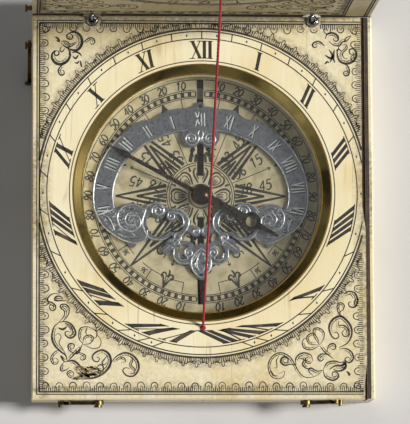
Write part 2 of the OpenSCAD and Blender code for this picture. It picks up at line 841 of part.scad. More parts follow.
base_tablet();
base_strip_left();
base_strip_right();
compass_bezel();
compass_glass();
compass_card();
needle_pivot();
disc_rivet();
base_hinge_eyes();
front_hook_pins();
stay_pin();
thread_foot();
gnomon_thread();
lid_tablet();
lid_strip_right();
lid_hinge_eyes();
lid_catch_studs();
stay_stud();
thread_head();
moon_rivet();
moon_disc();
compass_needle();
needle_cap();
hour_plate();
plate_guide_pin();
plate_drive_pin();
calendar_disc();
front_hook_left();
front_hook_right();
stay_hook();
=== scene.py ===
# %% [markdown]
# # Dressing a diptych sundial in Blender
# The packed CAD model already has every solid piece of this pocket sundial in its place: two ivory
# tablets on ring eyes, a compass under glass, a tin-alloy hour plate that slides along the noon line,
# and a red thread whose shadow tells the time. This script keeps those pieces as they are and adds
# what a maker adds after the sawing and turning: engraved lines filled with black, a printed card,
# chased pewter, twisted thread, polish and wear. All lengths below are in millimetres unless a name
# says otherwise, and they become metres only where a mesh is made.

# %% Load the packed model
import math
import random

import bpy
import numpy as np
from mathutils import Euler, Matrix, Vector


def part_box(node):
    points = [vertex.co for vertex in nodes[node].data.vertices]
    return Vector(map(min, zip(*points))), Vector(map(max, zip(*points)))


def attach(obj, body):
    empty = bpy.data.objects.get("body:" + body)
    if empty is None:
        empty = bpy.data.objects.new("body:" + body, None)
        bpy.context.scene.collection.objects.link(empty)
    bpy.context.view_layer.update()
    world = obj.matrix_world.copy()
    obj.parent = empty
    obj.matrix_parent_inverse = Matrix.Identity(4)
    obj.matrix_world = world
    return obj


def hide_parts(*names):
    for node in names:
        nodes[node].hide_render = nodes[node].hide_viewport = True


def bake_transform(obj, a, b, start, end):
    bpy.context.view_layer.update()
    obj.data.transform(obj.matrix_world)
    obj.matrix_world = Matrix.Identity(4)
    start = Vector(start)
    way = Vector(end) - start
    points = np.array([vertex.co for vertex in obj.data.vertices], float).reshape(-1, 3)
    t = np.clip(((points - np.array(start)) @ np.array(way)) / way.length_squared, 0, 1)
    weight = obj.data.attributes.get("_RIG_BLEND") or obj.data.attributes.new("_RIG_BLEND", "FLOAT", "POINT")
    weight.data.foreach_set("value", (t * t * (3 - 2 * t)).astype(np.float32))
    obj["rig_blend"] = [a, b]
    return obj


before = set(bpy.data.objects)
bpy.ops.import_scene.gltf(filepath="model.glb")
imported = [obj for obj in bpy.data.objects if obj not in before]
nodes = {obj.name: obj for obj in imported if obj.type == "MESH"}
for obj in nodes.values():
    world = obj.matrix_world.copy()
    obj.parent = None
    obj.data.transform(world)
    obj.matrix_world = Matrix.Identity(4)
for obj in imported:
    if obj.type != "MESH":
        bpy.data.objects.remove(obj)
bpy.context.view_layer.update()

MM = 0.001


def node_box(name):
    """Lowest and highest corner of a CAD node in millimetres."""
    low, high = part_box(name)
    return np.array(low) / MM, np.array(high) / MM


# %% [markdown]
# ## The camera
# The photograph looks almost straight down on the open dial, from a little in front and to the left,
# through a long lens. The place and turn below were fitted to the four corners of the lower tablet,
# the dial's centre, the thread's foot and the lid's right edge.

# %% Set the camera
CAMERA_PLACE = (-36.47, -80.68, 650.0)
CAMERA_TURN = (0.1236, -0.0569, -0.0043)
LENS = 284.8

camera = bpy.data.objects.new("camera", bpy.data.cameras.new("camera"))
bpy.context.scene.collection.objects.link(camera)
camera.location = Vector(CAMERA_PLACE) * MM
camera.rotation_euler = Euler(CAMERA_TURN)
camera.data.lens = LENS
camera.data.clip_start, camera.data.clip_end = 0.01, 20.0
bpy.context.scene.camera = camera
print("camera looks along", [round(v, 3) for v in camera.rotation_euler.to_matrix() @ Vector((0, 0, -1))])

# %% [markdown]
# ## Colours and shader nodes
# Colours are written as the hex values a paint program shows. Blender's sockets want linear light, so
# one function converts them. A second small function adds a shader node with its settings and links,
# which keeps each material readable as a short list of steps. A third gives the object's own
# coordinates divided by a real size, so that one unit of a pattern is one cell of that many
# millimetres.

# %% Colour and node helpers
RGBA = {"data_type": "RGBA"}  # makes a Mix node blend colours


def linear(hex_colour):
    """An sRGB hex colour such as '#ecdeb2' as linear red, green, blue and an alpha of one."""
    parts = [int(hex_colour[i:i + 2], 16) / 255 for i in (1, 3, 5)]
    return [p / 12.92 if p <= 0.04045 else ((p + 0.055) / 1.055) ** 2.4 for p in parts] + [1.0]


def add(material, kind, settings=None, inputs=None):
    """Adds a shader node. Inputs are values, or output sockets of other nodes to link from."""
    node = material.node_tree.nodes.new("ShaderNode" + kind)
    for name, value in (settings or {}).items():
        setattr(node, name, value)
    for name, value in (inputs or {}).items():
        if isinstance(value, bpy.types.NodeSocket):
            material.node_tree.links.new(value, node.inputs[name])
        else:
            node.inputs[name].default_value = value
    return node


def pattern_space(material, *cell):
    """The object's coordinates counted in cells of the given millimetre size along X, Y and Z."""
    size = cell if len(cell) == 3 else cell * 3
    place = add(material, "TexCoord").outputs["Object"]
    return add(material, "Mapping", None, {"Vector": place, "Scale": [1 / (c * MM) for c in size]}).outputs[0]


def start_material(name, **settings):
    """A material with one Principled shader whose plain sockets are set at once."""
    material = bpy.data.materials.new(name)
    material.use_nodes = True
    shader = material.node_tree.nodes["Principled BSDF"]
    for socket, value in settings.items():
        shader.inputs[socket.replace("_", " ")].default_value = value
    return material, shader


def drive(material, shader, **links):
    """Links pattern outputs to the shader's own sockets."""
    for socket, source in links.items():
        material.node_tree.links.new(source, shader.inputs[socket.replace("_", " ")])


print("white in linear light:", linear("#ffffff"))

# %% [markdown]
# ## Ivory
# The tablets are thin plates of ivory, scraped and polished by hand. Old ivory is a warm cream with a
# fine straight grain, soft yellow clouds, and hairline cracks that run along the grain and have filled
# with brown dirt. Its index of refraction is about 1.54 and handling leaves it satin, not glossy.
# Grain and cracks run along the tablet's long side. The real grain is a tenth of a millimetre wide,
# half a pixel of this picture, so it is drawn five times as coarse. The cracks come from cells like
# upright sheets: only thin borders between the cells are kept, and a second noise hides most.
# Fingers never reach the cuts of a fringe, so grey-brown soil stays there. The lower tablet gets it in
# bands just inside the ruled lines, in the corners and round the dial, broken up by a noise. Along the
# hinge the same brown is painted shade of the upright lid over some soil. A darker patch sits round
# each hinge eye.

# %% Where soil and painted shade gather
# Millimetres from the centre line towards the hinge, from the dial's centre, up, and from a hinge eye.
BACK_SHADE_AND_SOIL, CORNER_SOIL, UPPER_SKIN, EYE_PATCH = (35.9, 36.3), (32.0, 37.0), (8.85, 8.98), (1.9, 3.2)


def soiled_bands(material, dial, side_band, end_band, ring_band, hinge_eye):
    """A share from 0 to 1 that is high in straight bands inside the edges and in a ring. Sizes in mm."""
    place = add(material, "TexCoord").outputs["Object"]
    x, y, z = add(material, "SeparateXYZ", None, {0: place}).outputs
    flat = add(material, "CombineXYZ", None, {0: x, 1: y}).outputs[0]
    from_dial = add(material, "VectorMath", {"operation": "DISTANCE"},
                    {0: flat, 1: (dial[0] * MM, dial[1] * MM, 0)}).outputs["Value"]
    across = add(material, "Math", {"operation": "ABSOLUTE"}, {0: x}).outputs[0]
    ahead = add(material, "Math", {"operation": "ABSOLUTE"}, {0: y}).outputs[0]
    spreads = []
    for reach, band in ((across, side_band), (ahead, end_band), (from_dial, ring_band)):
        begin, full, fade, end = (edge * MM for edge in band)
        rise = add(material, "MapRange", None, {0: reach, 1: begin, 2: full}).outputs[0]
        fall = add(material, "MapRange", None, {0: reach, 1: fade, 2: end, 3: 1.0, 4: 0.0}).outputs[0]
        spreads.append(add(material, "Math", {"operation": "MULTIPLY"}, {0: rise, 1: fall}).outputs[0])
    # painted shade with some soil in the band along the hinge, where the upright lid stands; soil towards the
    # corners
    for reach, (begin, end), most in ((y, BACK_SHADE_AND_SOIL, 0.9), (from_dial, CORNER_SOIL, 0.34)):
        spread = add(material, "MapRange", None, {0: reach, 1: begin * MM, 2: end * MM, 3: 0.0, 4: most})
        spreads.append(spread.outputs[0])
    total = spreads[0]
    for spread in spreads[1:]:
        total = add(material, "Math", {"operation": "MAXIMUM"}, {0: total, 1: spread}).outputs[0]
    upper = add(material, "MapRange", None, {0: z, 1: UPPER_SKIN[0] * MM, 2: UPPER_SKIN[1] * MM}).outputs[0]
    total = add(material, "Math", {"operation": "MULTIPLY"}, {0: total, 1: upper}).outputs[0]
    # a darker patch round each hinge eye
    either_side = add(material, "CombineXYZ", None, {0: across, 1: y}).outputs[0]
    from_eye = add(material, "VectorMath", {"operation": "DISTANCE"},
                   {0: either_side, 1: (hinge_eye[0] * MM, hinge_eye[1] * MM, 0)}).outputs["Value"]
    eye_patch = add(material, "MapRange", None, {0: from_eye, 1: EYE_PATCH[0] * MM, 2: EYE_PATCH[1] * MM,
                                              3: 1.2, 4: 0.0}).outputs[0]
    return add(material, "Math", {"operation": "MAXIMUM"}, {0: total, 1: eye_patch}).outputs[0]


print("soil deepens from", CORNER_SOIL[0], "to", CORNER_SOIL[1], "mm from the dial's centre")

# %% [markdown]
# The colour is built up in steps: cream with warm clouds, paler streaks, fine grain, cracks, and dirt
# with painted shade last of all. Each step mixes the colour so far with one more, by a share that a noise
# gives.

# %% The ivory material
IVORY_PALE, CRACK_BROWN, SOIL_AND_SHADE_BROWN = "#f1ead0", "#7d5a33", "#6a5a43"


def make_ivory(name, grain_axis, cream, warm, dirt_and_shade=0.0, bands=None):
    """Ivory whose grain and cracks run along the axis numbered 1 (Y) or 2 (Z)."""
    material, shader = start_material(name, IOR=1.54)

    def along(width, length):
        """Pattern space with cells of one width across the grain and another length along it."""
        size = [width, width, width]
        size[grain_axis] = length
        return pattern_space(material, *size)

    clouds = add(material, "TexNoise", None, {"Vector": pattern_space(material, 13.0), "Scale": 1.0,
                                              "Detail": 4.0, "Distortion": 0.4}).outputs[0]
    share = add(material, "MapRange", None, {0: clouds, 1: 0.42, 2: 0.75}).outputs[0]
    colour = add(material, "Mix", RGBA, {0: share, 6: linear(cream), 7: linear(warm)}).outputs[2]
    pale = add(material, "TexNoise", None, {"Vector": along(5.0, 26.0), "Scale": 1.0,
                                            "Detail": 3.0, "Distortion": 0.6}).outputs[0]
    share = add(material, "MapRange", None, {0: pale, 1: 0.5, 2: 0.75, 4: 0.8}).outputs[0]
    colour = add(material, "Mix", RGBA, {0: share, 6: colour, 7: linear(IVORY_PALE)}).outputs[2]
    grain = add(material, "TexNoise", None, {"Vector": along(0.5, 22.0), "Scale": 1.0,
                                             "Detail": 4.0}).outputs[0]
    share = add(material, "MapRange", None, {0: grain, 1: 0.35, 2: 0.8, 4: 0.34}).outputs[0]
    colour = add(material, "Mix", RGBA, {0: share, 6: colour, 7: linear(warm)}).outputs[2]

    wander = add(material, "TexNoise", None, {"Vector": along(4.0, 14.0), "Scale": 1.0,
                                              "Detail": 2.0}).outputs[0]
    shift = add(material, "MapRange", None, {0: wander, 3: -0.1, 4: 0.1}).outputs[0]
    sheets = pattern_space(material, 3.3, 95.0, 95.0)
    cells = add(material, "VectorMath", {"operation": "ADD"}, {0: sheets, 1: shift}).outputs[0]
    edges = add(material, "TexVoronoi", {"feature": "DISTANCE_TO_EDGE"}, {"Vector": cells, "Scale": 1.0})
    line = add(material, "MapRange", None, {0: edges.outputs["Distance"], 1: 0.006, 2: 0.022, 3: 1.0, 4: 0.0})
    hidden = add(material, "TexNoise", None, {"Vector": along(9.0, 12.0), "Scale": 1.0,
                                              "Detail": 2.0}).outputs[0]
    seen = add(material, "MapRange", None, {0: hidden, 1: 0.5, 2: 0.66, 4: 0.4}).outputs[0]
    crack = add(material, "Math", {"operation": "MULTIPLY"}, {0: line.outputs[0], 1: seen}).outputs[0]
    colour = add(material, "Mix", RGBA, {0: crack, 6: colour, 7: linear(CRACK_BROWN)}).outputs[2]

    grime = add(material, "TexNoise", None, {"Vector": pattern_space(material, 0.9), "Scale": 1.0,
                                             "Detail": 6.0, "Roughness": 0.75})
    # dirt mixed in all over; on the lid it also paints the shade of the upright face
    if dirt_and_shade:
        share = add(material, "MapRange", None, {0: grime.outputs[0], 1: 0.3, 2: 0.9, 4: dirt_and_shade}).outputs[0]
        colour = add(material, "Mix", RGBA, {0: share, 6: colour, 7: linear(SOIL_AND_SHADE_BROWN)}).outputs[2]
    if bands:
        patchy = {0: grime.outputs[0], 1: 0.36, 2: 0.6, 3: 0.05, 4: 0.8}
        broken = add(material, "MapRange", None, patchy).outputs[0]
        # soil, with painted shade of the lid along the hinge
        soil_and_shade = soiled_bands(material, *bands)
        share = add(material, "Math", {"operation": "MULTIPLY"}, {0: soil_and_shade, 1: broken}).outputs[0]
        colour = add(material, "Mix", RGBA, {0: share, 6: colour, 7: linear(SOIL_AND_SHADE_BROWN)}).outputs[2]
    scratches = add(material, "TexNoise", None, {"Vector": along(0.25, 6.0), "Scale": 1.0,
                                                 "Detail": 3.0}).outputs[0]
    height = add(material, "Math", {"operation": "SUBTRACT"}, {0: scratches, 1: crack}).outputs[0]
    relief = add(material, "Bump", None, {"Height": height, "Distance": 0.02 * MM}).outputs[0]
    sheen = add(material, "MapRange", None, {0: clouds, 1: 0.3, 2: 0.8, 3: 0.46, 4: 0.6}).outputs[0]
    drive(material, shader, Base_Color=colour, Normal=relief, Roughness=sheen)
    return material


bezel_low, bezel_high = node_box("compass_bezel")
DIAL = (bezel_low[:2] + bezel_high[:2]) / 2
HINGE_EYE = (21.4, 37.25)
FRINGE_BANDS = (DIAL, (28.7, 30.9, 31.45, 31.75), (32.9, 35.2, 35.75, 36.1), (31.9, 32.15, 33.2, 35.2),
                HINGE_EYE)
base_ivory = make_ivory("polished_ivory", 1, "#eee4c2", "#e1cd97", bands=FRINGE_BANDS)
# The lid's ivory is darker and dirtier than the base's: partly age, partly painted shade of its upright face.
lid_ivory = make_ivory("aged_and_shaded_ivory", 2, "#dccfab", "#c3ad7d", 0.32)
print("materials so far:", [m.name for m in bpy.data.materials])

# %% [markdown]
# ## Metals
# Brass, pewter and steel are on the dial. The compass ring, hooks, pins and rivets are brass that has
# tarnished to a dull olive and shines only where it is rubbed. The hour plate is pewter, grey and
# slightly grainy from casting. The needle and its pivot are steel, browned by age, and the hinge eyes
# are bright steel wire. Metals keep Blender's default IOR, because their colour comes from Base Color
# and Metallic. The real marks of scraping, casting and polishing are under a tenth of a millimetre
# wide, too fine to show, so the grain is drawn 0.3 to 0.5 mm wide.

# %% Brass, pewter and steel
def make_metal(name, bright, tarnish, roughness, cover, grain, depth, patch=3.5):
    """A metal whose tarnish lies in patches that cover the given share, with a fine worked grain."""
    material, shader = start_material(name, Metallic=1.0, Roughness=roughness)
    patches = add(material, "TexNoise", None, {"Vector": pattern_space(material, patch), "Scale": 1.0,
                                               "Detail": 5.0, "Distortion": 0.5}).outputs[0]
    share = add(material, "MapRange", None, {0: patches, 1: 0.62 - cover / 3, 2: 0.95 - cover / 2}).outputs[0]
    colour = add(material, "Mix", RGBA, {0: share, 6: linear(bright), 7: linear(tarnish)}).outputs[2]
    marks = add(material, "TexNoise", None, {"Vector": pattern_space(material, grain), "Scale": 1.0,
                                             "Detail": 3.0})
    relief = add(material, "Bump", None, {"Height": marks.outputs[0], "Distance": depth * MM}).outputs[0]
    rub = add(material, "MapRange", None, {0: patches, 1: 0.3, 2: 0.8,
                                           3: roughness - 0.08, 4: roughness + 0.14})
    drive(material, shader, Base_Color=colour, Normal=relief, Roughness=rub.outputs[0])
    return material


# Each line gives bright colour, tarnish, roughness, share covered, grain and its depth in mm, and the
# size of the patches where it isn't the usual one.
tarnished_brass = make_metal("tarnished_brass", "#8a7a48", "#3f3823", 0.24, 0.62, 0.3, 0.002, 11.0)
worn_brass = make_metal("worn_brass", "#665533", "#352c1b", 0.36, 0.7, 0.3, 0.006)
brown_brass = make_metal("browned_brass", "#352a20", "#201812", 0.26, 0.6, 0.5, 0.006)
cast_pewter = make_metal("cast_pewter", "#81848f", "#63666f", 0.36, 0.5, 0.35, 0.03, 0.7)
browned_steel = make_metal("browned_steel", "#4f443a", "#17120f", 0.3, 0.62, 0.3, 0.006, 1.1)
polished_steel = make_metal("polished_steel", "#9fa0a6", "#3b3b40", 0.2, 0.5, 0.4, 0.004, 1.2)
# The calendar disc is tarnished pewter, darkened further as painted shade so that the noon slots over it read
# black.
tarnished_pewter_slot_shade = make_metal("greyed_pewter_slot_shade", "#2c2c2e", "#1c1c1d", 0.55, 0.7, 0.5, 0.012)
print("metals:", [m.name for m in bpy.data.materials if m.name not in ("polished_ivory", "aged_and_shaded_ivory")])

# %% [markdown]
# ## Glass, card, ink and thread
# The window is a flat pane with an IOR of 1.52. A lamp's rays would be bent away by true glass and
# leave the card dark, so rays from lamps pass as through plain air, which is how a thin pane
# behaves. The card is rag paper, beige with age. Its fibres are a few hundredths of a millimetre
# wide and are drawn 0.2 mm wide, as coarse as it takes for them to show. Ink, the engraver's black
# filling, the dark bloom in the pewter's cuts and the dark stuff in joints are one idea in several
# colours: a matt dark stuff that has thinned in patches. Some of it is painted shade: the dark in the
# joints between tablets and slips, the dark line beside the plate's bright numerals, and the plate's
# pins, dark so that the noon slots read black.

# %% Glass, paper, pigments and thread
def make_glass():
    """A clear pane with a little dust, which lets lamp rays through."""
    material, shader = start_material("window_glass", Roughness=0.02, IOR=1.52)
    shader.inputs["Transmission Weight"].default_value = 1.0
    shader.inputs["Base Color"].default_value = linear("#f3f4f1")
    dust = add(material, "TexNoise", None, {"Vector": pattern_space(material, 2.0), "Scale": 1.0,
                                            "Detail": 4.0})
    haze = add(material, "MapRange", None, {0: dust.outputs[0], 1: 0.35, 2: 0.85, 3: 0.01, 4: 0.09})
    drive(material, shader, Roughness=haze.outputs[0])
    clear = add(material, "BsdfTransparent", None, {"Color": linear("#e6e7e4")})
    path = add(material, "LightPath")
    either = add(material, "MixShader", None, {0: path.outputs["Is Shadow Ray"],
                                               1: shader.outputs[0], 2: clear.outputs[0]})
    output = material.node_tree.nodes["Material Output"]
    material.node_tree.links.new(either.outputs[0], output.inputs["Surface"])
    return material


def make_matt(name, first, second, cell, roughness, depth, low=0.4, high=0.7):
    """A matt surface whose colour moves between two in patches of the given cell size."""
    material, shader = start_material(name, Roughness=roughness, IOR=1.5)
    patches = add(material, "TexNoise", None, {"Vector": pattern_space(material, cell), "Scale": 1.0,
                                               "Detail": 5.0, "Distortion": 0.3}).outputs[0]
    share = add(material, "MapRange", None, {0: patches, 1: low, 2: high}).outputs[0]
    colour = add(material, "Mix", RGBA, {0: share, 6: linear(first), 7: linear(second)}).outputs[2]
    fine = add(material, "TexNoise", None, {"Vector": pattern_space(material, 0.2), "Scale": 1.0,
                                            "Detail": 2.0})
    relief = add(material, "Bump", None, {"Height": fine.outputs[0], "Distance": depth * MM}).outputs[0]
    drive(material, shader, Base_Color=colour, Normal=relief)
    return material


window_glass = make_glass()
rag_card = make_matt("printed_rag_card", "#a0967d", "#83795f", 2.2, 0.85, 0.012)
card_ink = make_matt("printing_ink", "#120e0b", "#261d16", 1.6, 0.8, 0.005, 0.55, 0.85)
# dark tarnish in the pewter, also painted shade on the plate's pins and beside its numerals
pewter_tarnish_and_shade = make_matt("pewter_tarnish_and_painted_shade", "#131315", "#28282c", 1.2, 0.6, 0.01)
# painted shade for the open gap at the right
seam_gap_shade = make_matt("painted_gap_shade", "#24170d", "#3f2a17", 1.2, 0.85, 0.02)
# the engraver's black filling, also used as painted shade in the joint between the tablets
engraving_black_and_joint_shade = make_matt("engraving_black_and_joint_shade", "#282422", "#6a5942", 2.4, 0.7, 0.005, 0.52, 0.8)
worn_filling = make_matt("worn_brown_filling", "#7b6a54", "#ab9670", 0.8, 0.75, 0.005, 0.4, 0.65)
# brown of old glue, also used as painted shade in joints
seam_glue_and_shade = make_matt("brown_glue_and_painted_shade", "#3d2b1c", "#5b432b", 1.5, 0.7, 0.008)
red_silk = make_matt("red_silk_thread", "#a52c37", "#7c2028", 0.6, 0.75, 0.01)
print("materials:", len(bpy.data.materials))

# %% [markdown]
# ## Painting the CAD nodes
# Every solid from the CAD model keeps its mesh and only gets a finish. The names follow the record's
# material slots, so brass pins, hooks and rivets share one metal, and each tablet has its ivory; the lid's
# is darker, partly from age and partly as painted shade of its upright face.

# %% Give each CAD node its finish
FINISHES = {
    base_ivory: ["base_tablet", "base_strip_left", "base_strip_right"],
    lid_ivory: ["lid_tablet", "lid_strip_right", "moon_disc"],
    tarnished_brass: ["compass_bezel", "disc_rivet", "moon_rivet"],
    brown_brass: ["needle_cap"],
    worn_brass: ["front_hook_left", "front_hook_right", "front_hook_pins", "stay_hook", "stay_pin",
                 "stay_stud", "lid_catch_studs"],
    cast_pewter: ["hour_plate"],
    # the pins and the calendar disc are dark so that the noon slots read black: painted shade
    pewter_tarnish_and_shade: ["plate_guide_pin", "plate_drive_pin"],
    tarnished_pewter_slot_shade: ["calendar_disc"],
    browned_steel: ["compass_needle", "needle_pivot"],
    polished_steel: ["base_hinge_eyes", "lid_hinge_eyes"],
    window_glass: ["compass_glass"],
    rag_card: ["compass_card"],
    red_silk: ["gnomon_thread", "thread_foot", "thread_head"],
}
for finish, names in FINISHES.items():
    for name in names:
        nodes[name].data.materials.clear()
        nodes[name].data.materials.append(finish)
print("nodes without a finish:", sorted(set(nodes) - {n for names in FINISHES.values() for n in names}))

# %% [markdown]
# ## Floor, lamps and air
# The dial lies on a plain pale floor. The main light comes in from the right like daylight through a
# distant window, as soft as a sky patch 12 degrees wide. It is a sun lamp, so it falls off nowhere and
# the floor is lit evenly out to its edge. A weak square lamp half a metre wide stands opposite. The air
# gives even fill light at a plain level, so that colours come out about as they are written. Behind
# the floor's edge, in metal and through glass the air shows paler than it lights, so the background
# stays pale without more light on the dial.

# %% Floor and light
FLOOR_HALF, FLOOR_DROP = 2000.0, 0.02
SUN_STRENGTH, SUN_WIDTH = 4.6, 12
FILL_WATTS, FILL_SIDE = 0.6, 500

floor = bpy.data.objects.new("floor", bpy.data.meshes.new("floor"))
floor.data.from_pydata([(x * FLOOR_HALF * MM, y * FLOOR_HALF * MM, -FLOOR_DROP * MM)
                        for x, y in ((-1, -1), (1, -1), (1, 1), (-1, 1))], [], [(0, 1, 2, 3)])
bpy.context.scene.collection.objects.link(floor)
floor.data.materials.append(make_matt("pale_studio_paper", "#c8c7c8", "#c1c0c1", 40.0, 0.9, 0.002))


def place_lamp(name, kind, power, colour, place, aim):
    """A lamp that shines from a place towards another, both in millimetres."""
    lamp = bpy.data.objects.new(name, bpy.data.lights.new(name, kind))
    bpy.context.scene.collection.objects.link(lamp)
    lamp.location = Vector(place) * MM
    lamp.rotation_euler = (Vector(aim) - Vector(place)).to_track_quat("-Z", "Y").to_euler()
    lamp.data.energy, lamp.data.color = power, linear(colour)[:3]
    return lamp.data


window = place_lamp("window_light", "SUN", SUN_STRENGTH, "#fffdf8", (1560, 90, 1180), (0, 0, 0))
window.angle = math.radians(SUN_WIDTH)
fill = place_lamp("fill_lamp", "AREA", FILL_WATTS, "#f2f6ff", (-500, -420, 600), (0, 0, 10))
fill.size = FILL_SIDE * MM
FILL_LEVEL, PALE_LEVEL = 0.16, 0.45
world = bpy.data.worlds.new("studio_air")
bpy.context.scene.world = world
world.use_nodes = True
world.node_tree.nodes["Background"].inputs["Color"].default_value = linear("#eeeeec")
rays_seen = add(world, "LightPath")
seen = rays_seen.outputs["Is Camera Ray"]
for kind in ("Is Transmission Ray", "Is Glossy Ray"):
    seen = add(world, "Math", {"operation": "MAXIMUM"}, {0: seen, 1: rays_seen.outputs[kind]}).outputs[0]
level = add(world, "MapRange", None, {0: seen, 3: FILL_LEVEL, 4: PALE_LEVEL}).outputs[0]
world.node_tree.links.new(level, world.node_tree.nodes["Background"].inputs["Strength"])
bpy.context.scene.view_settings.view_transform = "Standard"

# %% [markdown]
# ## Smooth paths
# A freehand cut is given as a few points. A cubic spline passes through every one of them, with a
# slope taken from the points before and after, so the points can be read straight off a drawing.

# %% A smooth path through points
def smooth_line(points, step=0.22):
    """Points about one step apart on a cubic spline through the given ones."""
    p = np.array(points, float)
    if len(p) < 3:
        return p
    ends = np.vstack([2 * p[0] - p[1], p, 2 * p[-1] - p[-2]])
    out = []
    for a, b, c, d in zip(ends[:-3], ends[1:-2], ends[2:-1], ends[3:]):
        count = max(2, int(np.linalg.norm(c - b) / step))
        t = np.linspace(0, 1, count, endpoint=False)[:, None]
        out.append(0.5 * (2 * b + (c - a) * t + (2 * a - 5 * b + 4 * c - d) * t ** 2
                          + (3 * b - a - 3 * c + d) * t ** 3))
    return np.vstack(out + [p[-1:]])


print("points on a short bend:", len(smooth_line([(0, 0), (1, 1), (2, 0)])))

# %% [markdown]
# ## A graver to draw with
# The engraver cut thousands of fine lines and rubbed black wax into them. Cutting them from the mesh
# would be slow and would tear it, so each line is made as what one sees: a thin strip of filling that
# lies flush in the ivory, with a real thickness of a few hundredths of a millimetre. `Graver` gathers
# such strips on one flat face. It knows the face's origin and its right and up directions, so the
# same drawing code works on the base, on the upright lid and under the disc. `lift` is how far the top
# of a strip stands above the face. `holes` are boxes in the face where nothing may be drawn, such as
# the pockets of the hinge eyes.

# %% The graver
class Graver:
    """Draws flat strips and patches on one face, and turns them into one mesh."""

    def __init__(self, origin, right, up, lift=0.012, bold=1.0, holes=()):
        self.origin, self.right, self.up = (np.array(v, float) for v in (origin, right, up))
        self.normal = np.cross(self.right, self.up)
        self.lift, self.bold, self.holes, self.flat, self.faces = lift, bold, holes, [], []

    def patch(self, outline):
        """A filled outline of three or more points."""
        p = np.array(outline, float)
        x, y = p[:, 0], p[:, 1]
        if np.sum(x * np.roll(y, -1) - y * np.roll(x, -1)) < 0:
            p = p[::-1]
        self.faces.append(tuple(range(len(self.flat), len(self.flat) + len(p))))
        self.flat.extend(map(tuple, p))

    def line(self, points, width=0.16, taper=0.0, closed=False):
        """A strip along points. Taper is the share of width lost at both ends."""
        p = np.array(points, float)
        if len(p) < 2:
            return
        if self.holes and len(p) == 2 and np.linalg.norm(p[1] - p[0]) > 2:
            p = p[0] + (p[1] - p[0]) * np.linspace(0, 1, int(np.linalg.norm(p[1] - p[0]) / 0.25))[:, None]
        ahead = np.roll(p, -1, 0) - np.roll(p, 1, 0) if closed else np.gradient(p, axis=0)
        length = np.maximum(np.linalg.norm(ahead, axis=1, keepdims=True), 1e-9)
        side = np.stack([-ahead[:, 1], ahead[:, 0]], 1) / length
        share = np.linspace(0, 1, len(p))
        half = width * self.bold / 2 * (1 - taper * np.abs(2 * share - 1) ** 2)[:, None]
        first, count = len(self.flat), len(p)
        self.flat.extend(map(tuple, np.vstack([p + side * half, p - side * half])))
        for i in range(count if closed else count - 1):
            j = (i + 1) % count
            self.faces.append((first + count + i, first + count + j, first + j, first + i))

    def curve(self, points, width=0.16, taper=0.6):
        """A smooth strip through a few points."""
        self.line(smooth_line(points), width, taper)

    def ring(self, centre, radius, width=0.16, inside=None):
        """A full circle, or only its stretches whose points pass the test."""
        steps = max(24, int(radius * 30))
        turn = np.linspace(0, 2 * math.pi, steps, endpoint=False)
        p = np.array(centre) + radius * np.stack([np.sin(turn), np.cos(turn)], 1)
        kept = [inside is None or inside(x, y) for x, y in p]
        if all(kept):
            self.line(p, width, closed=True)
            return
        start = next(i for i in range(steps) if kept[i] and not kept[i - 1])
        run = []
        for k in range(steps + 1):
            i = (start + k) % steps
            if kept[i] and k < steps:
                run.append(p[i])
            elif run:
                self.line(run, width)
                run = []

    def dot(self, centre, radius):
        """A small filled disc."""
        turn = np.linspace(0, 2 * math.pi, 10, endpoint=False)
        self.patch(np.array(centre) + radius * np.stack([np.cos(turn), np.sin(turn)], 1))

    def piece(self, name, body, material, slot, depth=0.03):
        """One object with everything drawn so far, which moves with a CAD body."""
        p = np.array(self.flat)
        over = np.zeros(len(p), bool)
        for left, right, low, high in self.holes:
            over |= (p[:, 0] > left) & (p[:, 0] < right) & (p[:, 1] > low) & (p[:, 1] < high)
        faces = [face for face in self.faces if not any(over[i] for i in face)]
        used = sorted({i for face in faces for i in face})
        place = {old: new for new, old in enumerate(used)}
        p = p[used]
        at = self.origin + p[:, :1] * self.right + p[:, 1:] * self.up + self.lift * self.normal
        mesh = bpy.data.meshes.new(name)
        mesh.from_pydata((at * MM).tolist(), [], [tuple(place[i] for i in face) for face in faces])
        mesh.materials.append(material)
        drawn = bpy.data.objects.new(name, mesh)
        bpy.context.scene.collection.objects.link(drawn)
        thick = drawn.modifiers.new("filling", "SOLIDIFY")
        thick.thickness, thick.offset = depth * MM, -1.0
        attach(drawn, body)
        print(f"{name}: {len(faces)} faces")
        return drawn


print("a graver can draw:", [name for name in vars(Graver) if not name.startswith("_")])

# %% [markdown]
# Most faces that carry cuts are level and seen from above, and the work in the compass is measured from
# the dial's centre. Two short functions set up such gravers.

# %% Gravers for level faces
def level_graver(origin, lift=0.012, **settings):
    """A graver for a level face seen from above."""
    return Graver(origin, (1, 0, 0), (0, 1, 0), lift, **settings)


def dial_graver(height, lift, **settings):
    """A graver for a level face in the compass, measured from the dial's centre."""
    return level_graver((DIAL[0], DIAL[1], height), lift, **settings)


print("dial centre in mm:", [round(v, 2) for v in DIAL])

# %% [markdown]
# ## The lower tablet's borders
# Two ruled lines run round the tablet a millimetre from its edge. Inside them the engraver put a
# fringe, like the fringe of a carpet: close short strokes with a small horseshoe arch at each step. The
# same fringe goes round the dial, with groups of five pointed lobes like lace. Both are drawn by one
# function that walks along a path and places strokes and motifs square to it. A test of where the
# ivory is free keeps them out of each other's way, as on the real tablet.

